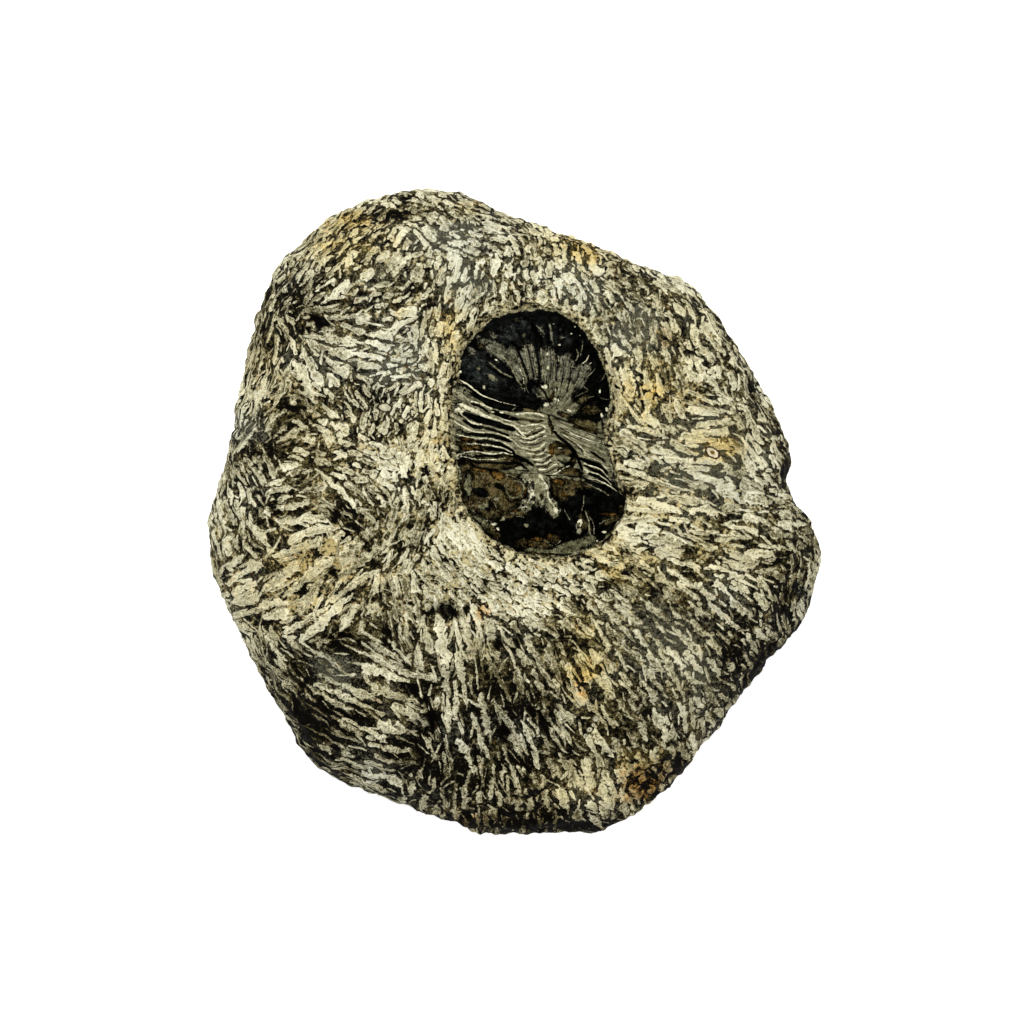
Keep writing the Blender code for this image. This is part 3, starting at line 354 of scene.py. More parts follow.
HEAD_PATCHES = (
    ("umber", -3.4, 4, 6.6, 5.4, 0, 1.3), ("umber", -6.8, 7.3, 2.2, 1.5, -50, 1.1),
    ("umber", 0.4, 0, 2.6, 1.6, 0, 1.2), ("umber", -4.6, -2.6, 3.2, 1.4, -38, 1),
    ("ash", 4.1, 6.2, 2.8, 1.8, -20, 1.3), ("ash", 4.6, 3.6, 2.1, 2.6, 0, 1.15),
    ("ash", 2.5, 1.2, 1.3, 1.2, 40, 1.05), ("ash", 6.9, 0.7, 1.2, 2.1, 30, 1.1),
    ("umber", 8.9, 3.9, 2.2, 1.9, -20, 1.3), ("umber", 11.2, 4.8, 2.6, 0.8, -12, 1.1),
    ("black", -5.4, 3.4, 2.8, 1.5, -20, 0.62), ("black", -2.2, 4.3, 1.6, 1, -30, 0.62),
    ("rust", -2.5, 6.5, 1.7, 1.2, -30, 0.95), ("rust", -5.6, 7.3, 1.4, 0.5, -20, 0.8),
    ("rust", 2.2, 3.4, 0.5, 1.3, 0, 0.85), ("rust", 0.4, 0.3, 1.2, 0.6, 20, 0.6),
    ("olive", -5.3, -1.6, 1.8, 0.9, -40, 0.9), ("olive", -7.6, 4.6, 0.9, 2.8, 0, 0.8),
    ("olive", -4.9, 1, 1.2, 0.7, 30, 0.8), ("slate", -4, 0.5, 0.9, 0.6, 0, 0.6),
    ("bone", -3, -1.9, 0.8, 0.5, 0, 0.75), ("bone", -2.3, -2.8, 0.5, 0.5, 0, 0.75),
    ("ash", -2.8, 2.2, 0.7, 0.5, 40, 0.85), ("ash", -1.7, -1.2, 0.6, 0.4, 30, 0.8),
    ("umber", 4.9, 2.6, 0.7, 1.2, 0, 0.55), ("olive", 3.2, 4.4, 0.9, 1.6, 0, 0.7),
    ("bone", 3.3, 3.2, 0.8, 1.8, 10, 0.65), ("bone", 2.3, 1.1, 0.8, 0.8, -20, 0.65),
    ("bone", 7.5, 0.4, 0.9, 0.7, -40, 0.65), ("rust", 8, 5.1, 1.5, 0.6, -15, 0.85),
    ("rust", 9.2, 2.8, 1.1, 0.45, -20, 0.8), ("black", 15.6, 1.6, 3.9, 1.8, -8, 1.5),
    ("black", 2, -2.6, 3.6, 1.7, 0, 1.5), ("black", 8.6, -2.8, 2.4, 1.4, 0, 1.5),
    ("black", 4.6, -0.6, 1.2, 0.7, 0, 1.1), ("black", 10.6, 1, 1, 1.6, 0, 1.2),
    ("umber", 12.6, -1.6, 1.6, 2.6, 10, 0.75), ("umber", 17, -1.4, 2.4, 1, 20, 0.7),
    ("umber", 4, -5.7, 4, 0.9, -8, 1.1), ("rust", 4.4, -4.6, 1.1, 0.35, 0, 0.9),
    ("umber", 6.7, -4.5, 1.5, 0.9, 0, 1.2), ("rust", 6.4, -4.1, 1, 0.5, 20, 0.7),
    ("rust", 3.3, -5.8, 0.9, 0.4, 0, 0.7), ("olive", 10.2, -5.9, 3.1, 1.1, 12, 1.3),
    ("olive", 5.6, -7, 3.4, 0.8, -3, 1.3), ("umber", 5, -7.3, 3.6, 0.5, -3, 0.8),
    ("olive", 13.4, -4.7, 1.1, 1.2, 0, 0.9), ("bone", 11.5, -2.1, 0.5, 0.9, -10, 1.4),
    ("olive", 11.5, -2.2, 0.26, 0.5, -10, 1), ("ash", 11.6, -3.2, 0.5, 0.6, 0, 1.2),
    ("rust", 16.6, -0.3, 1.5, 0.35, 0, 0.9), ("bone", 15.8, -3.4, 0.6, 0.25, -10, 1),
    ("bone", 16.6, -4.5, 0.8, 0.26, 45, 1.1), ("bone", 14.6, -4.9, 0.26, 0.22, 0, 1),
    ("ash", 18.4, -2.7, 0.22, 0.4, 0, 1), ("ash", 2.5, -2.3, 0.42, 0.3, 0, 1.3),
    ("umber", 19, 0.4, 0.9, 0.8, 0, 1.2), ("olive", -9, 6.2, 0.45, 2.6, 8, 0.7),
)  # fmt: skip
HEAD_LINES = (
    ("olive", 0.4, 0.75, (6.6, 6.0), (8.4, 6.0), (10.4, 5.9), (12.4, 5.6)),
    ("ash", 0.16, 0.8, (12.6, 5.0), (13.9, 4.4), (15.2, 3.8), (16.6, 3.1)),
    ("ash", 0.16, 0.8, (-1.0, 6.6), (1.2, 5.5), (2.1, 4.2)),
    ("olive", 0.16, 1.0, (-0.6, 4.8), (-1.0, 3.7), (-0.2, 2.5), (1.2, 2.5), (2.0, 3.6), (1.6, 4.9),
     (0.4, 5.4)),
    ("black", 0.14, 1.0, (-1.0, 5.2), (-1.5, 3.7), (-0.6, 2.1), (1.4, 2.0), (2.5, 3.0)),
    ("rust", 0.14, 0.9, (-0.2, 4.4), (0.9, 4.6), (1.3, 3.7), (0.6, 3.1), (-0.2, 3.5)),
    ("ash", 0.1, 0.8, (-7.2, 0.9), (-5.8, 1.9), (-4.1, 2.3), (-3.1, 1.4), (-2.7, 0.4)),
    ("ash", 0.1, 0.7, (-6.9, 0.6), (-6.2, -0.6), (-4.8, -1.4), (-3.4, -1.5)),
    ("ash", 0.1, 0.8, (-0.6, 1.2), (0.4, 0.6), (1.4, 0.9)),
    ("ash", 0.1, 0.8, (-0.8, -0.4), (0.2, -0.2), (0.8, -0.8), (2.0, -0.9)),
    # painted shadow: a black band along the head's lower left edge
    ("black", 0.34, 1.3, (-8.8, 1.0), (-7.4, -0.8), (-6.0, -2.3), (-4.7, -3.6), (-2.8, -5.2), (-0.6, -6.2)),
    ("black", 0.14, 1.0, (-8.6, 8.3), (-7.0, 8.0), (-5.4, 7.5)),
    ("bone", 0.34, 0.7, (2.6, 8.4), (3.6, 7.4), (5.0, 6.0), (5.9, 4.4), (6.2, 2.6), (6.8, 1.3), (7.7, 0.4)),
    ("bone", 0.12, 1.0, (4.7, 6.6), (5.3, 5.8)),
    ("bone", 0.2, 0.65, (2.9, 5.7), (3.5, 4.0), (3.0, 2.2), (2.0, 0.8)),
    ("ash", 0.11, 0.9, (12.4, 2.8), (12.2, 1.2), (11.9, 0.0)),
    ("ash", 0.16, 0.95, (12.4, 0.1), (13.1, -1.6), (13.3, -3.4), (13.7, -4.7)),
    ("ash", 0.1, 0.9, (13.3, -0.8), (14.0, -2.2), (14.0, -3.6)),
    ("ash", 0.09, 0.9, (15.0, -2.1), (16.2, -1.5), (17.4, -1.2)),
    ("ash", 0.09, 0.8, (8.9, 0.6), (9.3, -0.4), (9.9, -1.4)),
    ("ash", 0.12, 0.8, (5.8, -4.6), (6.4, -5.5), (7.6, -5.5), (8.4, -4.8)),
    ("black", 0.16, 1.0, (7.0, -5.9), (9.0, -5.0), (10.4, -4.4)),
)  # fmt: skip

# ---- The marks of the air scribe --------------------------------------------------------------------------

# How the tool ran: x, y, bearing of the strokes, their length and their width.
STROKES = (
    (-30, 47, 62, 2.2, .8), (-21, 45, 55, 2.0, .75), (-14, 51, -35, 1.9, .8), (-5, 48, -20, 1.9, .8),
    (1, 42, 85, 2.0, .75), (11, 39, -80, 1.9, .8), (19, 42, -70, 2.1, .85), (27, 37, -60, 2.3, .85),
    (22, 28, -78, 2.2, .8), (31, 28, -62, 2.5, .85), (38, 28, -58, 3.0, .85), (42, 19, -62, 3.0, .85),
    (26, 19, -75, 2.4, .8), (24, 12, -30, 2.8, .8), (33, 16, -10, 3.4, .8), (26, 6, -10, 4.0, .75),
    (36, 2, -12, 4.2, .8), (46, 11, -50, 3.0, .9), (48, -1, -10, 3.0, .9), (43, -8, -14, 3.6, .8),
    (31, -7, -15, 3.8, .75), (24, -3, -8, 3.4, .7), (50, -13, -70, 2.6, .9), (22, -13, -35, 3.2, .8),
    (33, -17, -40, 3.2, .85), (41, -19, -45, 3.0, .85), (26, -26, -55, 3.2, .85), (34, -29, -58, 3.0, .9),
    (24, -36, -65, 3.0, .9), (17, -31, -62, 3.4, .85), (15, -22, -50, 3.4, .8), (8, -19, -40, 2.6, .75),
    (8, -29, -62, 4.2, .85), (5, -43, -58, 5.5, .9), (14, -45, -70, 3.6, .9), (19, -48, -60, 2.6, .9),
    (-2, -32, -75, 5.5, .85), (-7, -26, -88, 6.0, .8), (-12, -24, -92, 5.5, .8), (-11, -36, -78, 5.5, .85),
    (-7, -46, -80, 4.5, .9), (0, -51, -85, 3.0, .9), (-14, -48, 80, 3.4, .9), (-23, -29, -14, 6.5, .95),
    (-30, -34, -16, 7.0, .95), (-19, -39, -16, 6.0, .95), (-26, -45, -20, 5.2, .95),
    (-37, -31, -40, 4.0, .85), (-42, -24, -58, 4.2, .85), (-45, -15, 18, 6.8, .86), (-47, -10, 20, 6.4, .86),
    (-38, -8, 20, 6.8, .86), (-40, -17, 24, 6.4, .88), (-33, -13, 46, 7.0, .95), (-28, -8, 42, 5.5, .9),
    (-37, -3, 4, 5.5, .95), (-30, 0, -45, 2.8, .7), (-21, -8, 60, 2.6, .6), (-19, -17, -75, 2.2, .6),
    (-11, -13, -50, 1.5, .55), (-2, -12, -40, 1.3, .5), (8, -12, -30, 1.4, .55), (17, -10, -20, 2.4, .65),
    (-47, -1, -72, 3.0, .85), (-49, -5, -65, 2.4, .9), (-45, 7, -50, 3.0, .8), (-38, 4, 30, 2.4, .7),
    (-43, 16, 38, 4.2, .8), (-43, 23, 42, 4.0, .8), (-46, 19, 76, 4.8, .75), (-45, 31, 74, 4.8, .75),
    (-37, 25, -62, 4.0, .75), (-38, 31, -58, 3.6, .75), (-31, 19, -45, 2.4, .7), (-30, 32, -4, 4.8, .8),
    (-24, 30, -6, 4.0, .8), (-35, 40, 30, 2.4, .8), (-38, 42, 60, 2.4, .8), (-24, 37, 20, 2.0, .75),
    (-19, 26, 10, 1.3, .6), (-21, 16, 70, 1.4, .55), (-24, 9, -30, 1.5, .6), (-16, 7, 85, 1.6, .55),
    (-11, 16, 88, 2.6, .55), (-14, 28, 80, 2.0, .65), (-12, 38, 75, 2.0, .75), (-33, 11, -20, 1.8, .7),
)  # fmt: skip
STROKE_SEED = 11
# The kinds of stroke: how many are tried, their length and width as shares of what the tables give, the swing
# of their bearing, their height, and the room they keep as a share of what the tables give.
STROKE_KINDS = ((90000, 1.6, 1.4, 0.15, 1.0, 0.95), (90000, 0.6, 0.55, 0.4, 0.7, 1.7))
# How much the length, the width, the bend and the taper vary from stroke to stroke.
LENGTH_SPREAD, WIDTH_SPREAD, BEND_SPREAD, TAPER_SPREAD = 0.3, 0.22, 0.06, 0.5
LOWEST_CREST = 0.75  # as a share of the highest
STROKE_LIFT = 0.26  # how far a stroke's crest stands over the ground between strokes
STROKE_ROOM = 2.0  # how far from a stroke's middle line, in half widths, the next one starts
NEAREST = 0.5  # how far from its edge a stroke is remembered
FAR_OFF = 9.0  # the place along and across that stands for no stroke
STROKE_SIDES = (-0.55, 0.35)  # where a stroke falls away, in half widths from its edge
END_ROOM = 1.08  # how far along, in half lengths, its ground is kept free
PROBES = np.linspace(-0.9, 0.9, 7)  # the places along it that have to be free before it is laid
STROKES_START, STROKES_END = -0.2, 1.85  # past the hollow's edge, and on the block's profile
CANVAS_MARGIN = 6
PULL_BLUR, PULL_FALL = 3.0, 2.5  # how a table row's pull on a stroke blurs and falls off with distance
# Where strokes lie closer (negative) or further apart: x, y, spread in x, spread in y, change.
CROWDING = (
    (-36, -8, 16, 15, -0.05),
    (-6, -18, 20, 9, -0.2),
    (-2, -38, 14, 14, -0.1),
    (36, -22, 14, 20, 0.4),
    (-30, 34, 10, 10, 0.5),
    (-33, 16, 9, 10, 0.2),
    (0, 46, 20, 8, 0.1),
)
CANVAS_HALF = 92.0  # half the side of the unrolled surface's canvas
CELL = 0.125  # the canvas's cell

# Stains of the stone, pale powder with painted light, and painted shade, by tint: x, y, half length, half
# width, bearing of the length, strength.
STONE_PATCHES = {
    "straw": (
        (-27, 46.5, 9, 5, 10, 0.8), (-11.5, 31, 4, 9, 0, 0.5), (-13.5, 12, 5, 11, 0, 0.4),
        (11, 46, 9, 4.5, -25, 0.7), (23, 20, 6, 9, 10, 0.8), (34, 12, 9, 6, 0, 0.7),
        (27, 2, 9, 5, -10, 0.5), (20, -9, 9, 4, -20, 0.6), (13, -27, 5, 11, 10, 0.8),
        (12, -47, 16, 5, 10, 0.6), (-37, -11, 13, 9, 20, 0.45), (36, -8, 12, 6, -10, 0.4),
        (30, 30, 8, 8, 0, 0.45), (-42, 26, 5, 10, 0, 0.4), (-32, 12, 8, 8, 0, 0.35),
        (-6, -23, 12, 5, 0, 0.3), (30, -24, 10, 8, -40, 0.4), (-24, -33, 10, 6, -15, 0.3),
    ),
    "ochre": (
        (-27.7, 50.1, 4.5, 1.7, 5, 1), (-10.8, 32.1, 1.7, 5.9, 10, 0.65), (-19.4, 34.7, 1.7, 1.4, 0, 0.8),
        (12.3, 44.9, 3.8, 2.8, -40, 1), (23.4, 20.6, 1.7, 4.5, 80, 0.9), (35.3, 11.4, 4.1, 2.6, 0, 1),
        (12.9, -27.6, 1.9, 6.2, -70, 0.9), (17, -10, 1.6, 3.5, 70, 0.8), (22.2, -42.8, 5.2, 2.8, 0, 0.7),
        (30.8, 19.3, 5.2, 3.5, 0, 0.45), (-31.3, 46.1, 3.5, 1.7, 30, 0.6), (-7.2, 53, 5.2, 1.4, -10, 0.6),
        (-36.5, -8.3, 8.6, 5.2, 20, 0.4), (-27.9, -13.5, 8.6, 5.2, 20, 0.4),
        (-45.2, -13.5, 5.2, 3.5, 20, 0.35),
    ),
    "rust": (
        (-8.4, 12.1, 4.5, 1.7, 0, 0.6), (26.2, 29.5, 2.2, 2.4, 0, 0.5), (-5.3, -16.9, 1.4, 2.1, 0, 0.8),
        (12.3, -30.7, 1.4, 2.8, 0, 0.6), (22.5, -47.1, 4.8, 3.8, 25, 0.8), (-6, -53, 9, 1.8, 0, 0.5),
    ),
    "slate": (
        (-7.7, 38.7, 2.4, 4.1, 80, 1), (21.2, 31.8, 4.5, 4.8, 0, 1), (-18.6, 26.3, 4.1, 2.4, 0, 0.8),
        (-30.8, -26.8, 4.1, 2.8, 0, 0.9), (-46, 14.2, 2.8, 6.9, 80, 0.5),
        (25.6, -18.7, 6.9, 4.5, -40, 0.6), (32.6, -29, 5.2, 5.2, 0, 0.5), (34, 8, 14, 12, 0, 0.4),
        (16, 34, 14, 8, -20, 0.35), (24, -22, 12, 12, 0, 0.35), (-10.6, 47, 6.9, 3.5, 0, 0.6),
        (-22.7, 41.8, 3.5, 3.5, 0, 0.5),
    ),
    # pale powder left by the scribe, and painted light where the top faces the light
    "pale_powder_and_light": (
        (-7.2, -5.7, 7.9, 5.9, -40, 1), (-12.3, -12.6, 5.9, 4.5, 0, 0.9),
        (1.5, -13.5, 8.6, 3.8, -10, 0.7), (-14.9, 9, 3.8, 10.4, 85, 0.7), (22.2, -1.4, 10.4, 5.2, 0, 0.4),
        (-31.3, -8.3, 8.6, 5.2, 25, 0.6), (-45.2, 21.1, 2.1, 8.6, 85, 0.6),
        (8.4, -10.9, 5.2, 2.1, 0, 0.6), (23.9, 20.2, 3.5, 6.9, 70, 0.4), (39.5, 2.1, 6.9, 2.8, -10, 0.4),
        (-36.5, -15.2, 8.6, 4.5, 20, 0.5),
    ),
    # painted shade: pit floors, and broad darker patches where the top slopes away from the light
    "painted_shade": (
        (24, -48, 4.5, 3, 25, 0.5), (-33.4, 32.6, 2.6, 0.9, -15, 1.2), (-24.4, 19.3, 4, 4, 0, 0.45),
        (-40.7, 0.4, 1.7, 1.5, 0, 0.9), (-43.9, 3.4, 1.2, 1, 0, 1.2), (-38.5, 18, 1, 2, 90, 1),
        (-30, -0.4, 1.6, 0.9, 10, 0.8), (-10.6, -17, 2.2, 1.3, -10, 1.3), (-13.6, -17.3, 1.4, 1, 0, 1.2),
        (-13.5, -35.8, 1.3, 2.4, 0, 1.2), (-17.6, -30.2, 1.5, 1.2, -30, 1.2),
        (-15, -32.6, 1.2, 1, 0, 1.1), (-1.4, -38.6, 1.3, 2.3, -20, 1.3), (5.4, -36.3, 1.6, 1.9, 0, 1.25),
        (-3.2, -22.8, 1.2, 1.1, 0, 1.2), (0.6, -22.7, 1.3, 0.8, 20, 1), (-29.3, -21, 2.4, 0.6, -20, 1.35),
        (-29.7, -22.6, 2.1, 0.55, -20, 1.3), (-21.6, -20.6, 0.9, 2.8, 0, 0.95),
        (-28.8, -35.1, 2.8, 0.6, -20, 1.2), (-30.1, -41.1, 1.4, 1.2, 0, 1.2),
        (-25.6, -4.2, 2.4, 0.6, -25, 1), (-27.5, -2.9, 1.6, 0.5, -25, 0.8),
        (-30.4, -10.1, 0.8, 0.8, 0, 1.3), (2.6, -45.2, 4.6, 0.8, -55, 1), (-32, -36, 14, 10, -40, 0.62),
        (-14, -43.6, 15, 8.2, -20, 0.6), (1.5, -53.6, 18, 3.4, 0, 0.6), (1, -37, 12, 10, 0, 0.55),
        (40.5, -26.5, 7.5, 12.4, 50, 0.5), (47, -14, 3, 8.6, 0, 0.5), (26, -46, 8, 4, 30, 0.45),
        (48.1, 7.3, 1.7, 2.5, 85, 0.5), (-38.5, 36.3, 9, 6.9, 55, 0.4), (-20.3, 51, 4, 1.2, 10, 0.8),
        (8.4, -23.8, 3.5, 3.5, 0, 0.3), (15.3, -35.9, 8.6, 6.9, 0, 0.25),
        (22.2, -30.7, 5.2, 6.9, 0, 0.25), (30.8, 28, 5.2, 3.5, 0, 0.25),
        (-10.6, -30.7, 2.8, 10.4, 80, 0.3), (-7.2, -46.3, 10.4, 5.2, 0, 0.35), (-44, 12, 4, 7, 0, 0.3),
    ),
}  # fmt: skip

# Small shells cut through by the surface: x, y, half length, half width, bearing, then the colours of the
# wall, of what fills it, and of its heart.
SHELL_BITS = (
    (34.4, 10.2, 1.4, 0.85, -35, (0.03, 0.012, 0.003), (0.62, 0.55, 0.36), (0.16, 0.085, 0.02)),
    (14.4, -35.5, 0.6, 0.5, 30, (0.16, 0.15, 0.09), (0.5, 0.48, 0.34), (0.3, 0.27, 0.17)),
    (14.0, -36.6, 0.36, 0.34, 0, (0.12, 0.11, 0.06), (0.45, 0.43, 0.3), (0.2, 0.18, 0.11)),
    (13.3, -37.4, 0.5, 0.4, 20, (0.15, 0.14, 0.09), (0.48, 0.46, 0.33), (0.09, 0.08, 0.04)),
    (12.6, -38.5, 0.42, 0.32, 60, (0.15, 0.14, 0.09), (0.48, 0.46, 0.33), (0.16, 0.14, 0.08)),
    (-21.8, 17.9, 1.3, 0.8, -8, (0.012, 0.008, 0.003), (0.44, 0.41, 0.28), (0.52, 0.48, 0.34)),
)  # fmt: skip
BITS_OVER = 0.015  # they lie on the top only, above this height in metres
BITS_BANDS = ((1.14, 1.0), (0.84, 0.72), (0.45, 0.3))  # where each colour starts, and where it is whole

# ---- Meshing ----------------------------------------------------------------------------------------------

# A place on the block's profile runs from 0 in the middle to 1 at the outline, and on down the side to 2.
MESH_ZONES = ((0.375, 0, 0.95), (0.46, 0.95, 1.03), (0.9, 1.03, 1.96))  # pitch, and the places it is kept to
MESH_SEED, JITTER = 4, 0.1  # how far points stray from their lattice, as a share of the pitch
FLOOR_PITCH, SOLE_PITCH = 1.6, 2.4
BLOCK_HALF, HOLLOW_HALF = 60, 24  # half the sides of squares that hold them
FLOOR_INSET = 2.2  # how far inside the hollow's outline the floor's own points start
WALL_RINGS = (-1.5, -1.15, -0.9, -0.7, -0.55, -0.4, -0.2, 0.0, 0.2, 0.4, 0.6, 0.8)  # out from that outline
RING_CORNERS = 340
FLAT_SHARE = 0.8  # out to this share of the outline the unrolled surface is the plan itself
BASE_CORNERS = 380
TABLE_BEARINGS = 720
PROFILE_STEPS = (120, 60)  # along the block's profile, over the top and down the side
EDGE_CROWDING = 2.2  # how those of the top crowd towards the edge
RUN_STEP = 0.25  # the step of the table that turns unrolled distance into place
CHART_MARGIN = 0.5  # left free round the unrolled skin, which fills the chart
SOLE_SCALE, SOLE_MIDDLE = 0.00135, 0.073  # the sole lies in the corner that the round skin leaves free


FULL_TURN = 2 * math.pi


def spline(a, b, c, d, t):
    """The smooth curve from b to c at t, from 0 to 1, that comes from a and goes on to d."""
    return b + 0.5 * t * (c - a + t * (2 * a - 5 * b + 4 * c - d + t * (3 * (b - c) + d - a)))


def loop_through(points, steps=6):
    """A smooth closed curve through these points."""
    p = np.array(points, float)
    t = (np.arange(steps) / steps)[None, :, None]
    return spline(*(np.roll(p, shift, 0)[:, None, :] for shift in (1, 0, -1, -2)), t).reshape(-1, 2)


def open_line(points, t):
    """Points at t, from 0 to 1, on a smooth open curve through evenly spaced points."""
    p = np.array(points, float)
    p = np.vstack([2 * p[0] - p[1], p, 2 * p[-1] - p[-2]])
    whole = np.asarray(t) * (len(points) - 1)
    span = np.clip(whole.astype(int), 0, len(points) - 2)
    return spline(*(p[span + k] for k in range(4)), (whole - span)[..., None])


def even_bearings(count, start=0):
    """Bearings at even steps all round."""
    return (np.arange(count) + start) * FULL_TURN / count


def on_level(x, y):
    """Points at height 0."""
    return np.column_stack([x, y, np.zeros_like(x)])


def polar(r, bearing):
    """Points at these distances and bearings."""
    return np.column_stack([r * np.cos(bearing), r * np.sin(bearing)])


def reach(points, centre, bearings):
    """Distance from the centre to a closed outline, in each direction."""
    away = loop_through(points) - np.array(centre)
    order = np.argsort(np.arctan2(away[:, 1], away[:, 0]))
    away = away[order]
    return np.interp(bearings, np.arctan2(away[:, 1], away[:, 0]), np.hypot(*away.T), period=FULL_TURN)


def by_bearing(table, bearings):
    """A value given at a few bearings in degrees, eased between them."""
    at = np.radians([row[0] for row in table])
    values = np.array([row[1] for row in table], float)
    fine = np.linspace(0, FULL_TURN, 73)[:-1]
    rough_values = np.interp(fine, at, values, period=FULL_TURN)
    weights = {-2: 1, -1: 2, 0: 3, 1: 2, 2: 1}
    eased = sum(w * np.roll(rough_values, s) for s, w in weights.items()) / 9
    return np.interp(bearings, fine, eased, period=FULL_TURN)


def oval(x, y, cx, cy, half_length, half_width, bearing):
    """A smooth hump of height 1 with an oval foot."""
    turn = math.radians(bearing)
    along = (x - cx) * math.cos(turn) + (y - cy) * math.sin(turn)
    across = (y - cy) * math.cos(turn) - (x - cx) * math.sin(turn)
    return np.exp(-((along / half_length) ** 2) - (across / half_width) ** 2)


def rough(points, size, seed):
    """Smooth noise between about -1 and 1 at each point, with lumps of about this size."""
    spot = Vector((seed, seed * 1.7, seed * 0.6))
    return np.array([noise.noise(Vector(p) / size + spot) for p in points])


def bumps(points, layers, base=0):
    """The base with layers of smooth noise laid over it."""
    return sum((height * rough(points, size, seed) for size, height, seed in layers), base)


def smooth(value, low, high):
    """0 below low, 1 above high, and eased between them."""
    t = np.clip((value - low) / (high - low), 0, 1)
    return t * t * (3 - 2 * t)


def around_block(seed, size, bearing):
    """Noise by bearing that closes on itself."""
    return rough(on_level(*polar(20, bearing).T), size, seed)


def between(grid, i, k, j, u, v):
    """What a grid gives at the share u of the way from row i to row k, and the share v past column j."""
    near, far = (grid[row, j] * (1 - v) + grid[row, j + 1] * v for row in (i, k))
    return near * (1 - u) + far * u


class Block:
    """The block's form: its outline, waist and sides by bearing, and where each unrolled point lies."""

    def __init__(self):
        self.bearings = even_bearings(TABLE_BEARINGS)
        corners = [(r * math.cos(math.radians(b)), r * math.sin(math.radians(b))) for b, r in BLOCK_OUTLINE]
        self.table = {
            "reach": reach(corners, (0.0, 0.0), self.bearings),
            "waist": WAIST * (1 + WAIST_SWING * around_block(2.9, 16.0, self.bearings)),
            "inset": BASE_INSET * (1 + INSET_SWING * around_block(5.5, 14.0, self.bearings)),
            "square": by_bearing(SHOULDERS, self.bearings),
        }
        self._unroll()

    def at(self, name, bearing):
        """What a table gives at these bearings."""
        return np.interp(bearing, self.bearings, self.table[name], period=FULL_TURN)

    def _unroll(self):
        """Fills the table of places by bearing and unrolled distance."""
        top, side = (np.linspace(0, 1, steps) for steps in PROFILE_STEPS)
        place = np.concatenate([1 - (1 - top) ** EDGE_CROWDING, 1 + side[1:]])
        out, waist, inset, square = (self.table[k][:, None] for k in ("reach", "waist", "inset", "square"))
        on_top = place <= 1
        drop = np.sqrt(1 - np.minimum(place, 1) ** square)
        share = np.clip(2 - place, 0, 1)
        r = np.where(on_top, place * out, out - inset * (1 - share) ** INSET_CURVE)
        z = np.where(on_top, waist + (PLATEAU - waist) * drop, waist * share)
        steps = np.hypot(np.diff(r, axis=1), np.diff(z, axis=1))
        run = np.concatenate([np.zeros_like(steps[:, :1]), np.cumsum(steps, axis=1)], axis=1)
        start = int(np.searchsorted(place, FLAT_SHARE))
        unrolled = r[:, start : start + 1] + run - run[:, start : start + 1]
        far = np.where(np.arange(len(place)) < start, r, unrolled)
        self.edge = far[:, -1]
        self.steps = np.arange(0, CANVAS_HALF, RUN_STEP)
        self.places = np.array([np.interp(self.steps, row, place) for row in far])

    def place_of(self, q):
        """For unrolled points, their bearing and their place on the profile."""
        bearing = np.arctan2(q[:, 1], q[:, 0]) % FULL_TURN
        row = bearing / FULL_TURN * TABLE_BEARINGS
        column = np.hypot(*q.T) / RUN_STEP
        i, j = row.astype(int), np.minimum(column.astype(int), len(self.steps) - 2)
        u, v = row - i, column - j
        return bearing, between(self.places, i % TABLE_BEARINGS, (i + 1) % TABLE_BEARINGS, j, u, v)

    def skin(self, q):
        """The smooth skin's points for unrolled points, with how strongly lumps show there."""
        bearing, place = self.place_of(q)
        out, waist, inset, square = (self.at(k, bearing) for k in ("reach", "waist", "inset", "square"))
        share = np.clip(2 - place, 0, 1)
        ledges = sum(0.5 * d * (1 + np.tanh((waist * (1 - share) - h) / LEDGE_SOFTNESS)) for h, d in LEDGES)
        r = np.where(place <= 1, place * out, out - inset * (1 - share) ** INSET_CURVE - ledges * share)
        x, y = r * np.cos(bearing), r * np.sin(bearing)
        ground, past = ground_height(x, y)
        z = waist + (ground - waist) * np.sqrt(1 - np.minimum(place, 1) ** square)
        lip = FLOOR + LIP_HEIGHT - LIP_DROP * smooth(-past, LIP_WIDTH, LIP_WIDTH + DROP_WIDTH)
        z = np.where(past < 0, lip + (z - lip) * smooth(past, -LIP_WIDTH, 0.15) ** 0.8, z)
        z = np.where(place > 1, waist * share, z)
        strength = np.clip(past / 5.0, 0, 1) * (1 - 0.65 * np.minimum(place, 1) ** 16)
        strength = np.where(place > 1, 0.35 + 1.1 * (1 - share) * share, strength)
        return np.column_stack([x, y, z]), strength, place, past


def ground_height(x, y):
    """Height of the top before its edge turns down, and how far past the hollow's edge each point is."""
    height = np.full_like(x, PLATEAU)
    for cx, cy, spread_x, spread_y, rise in HILLS:
        height += rise * oval(x, y, cx, cy, spread_x, spread_y, 0)
    for cx, cy, half_length, half_width, way, depth in PITS:
        height -= depth * oval(x, y, cx, cy, half_length, half_width, way)
    past = past_hollow(x, y)
    bearing = np.arctan2(y - HOLLOW_CENTRE[1], x - HOLLOW_CENTRE[0])
    return height - by_bearing(DIPS, bearing) * np.exp(-((past.clip(0) / DIP_WIDTH) ** 2)), past


def past_hollow(x, y):
    """How far past the upper edge of the hollow's wall each point is."""
    dx, dy = x - HOLLOW_CENTRE[0], y - HOLLOW_CENTRE[1]
    return np.hypot(dx, dy) - reach(HOLLOW_OUTLINE, HOLLOW_CENTRE, np.arctan2(dy, dx)) - WALL_LEAN


def lattice(pitch, half):
    """A hexagonal lattice of points over a square."""
    x = np.arange(-half, half, pitch)
    y = np.arange(-half, half, pitch * math.sqrt(3) / 2)
    grid_x, grid_y = np.meshgrid(x, y)
    grid_x[1::2] += pitch / 2
    return np.column_stack([grid_x.ravel(), grid_y.ravel()])


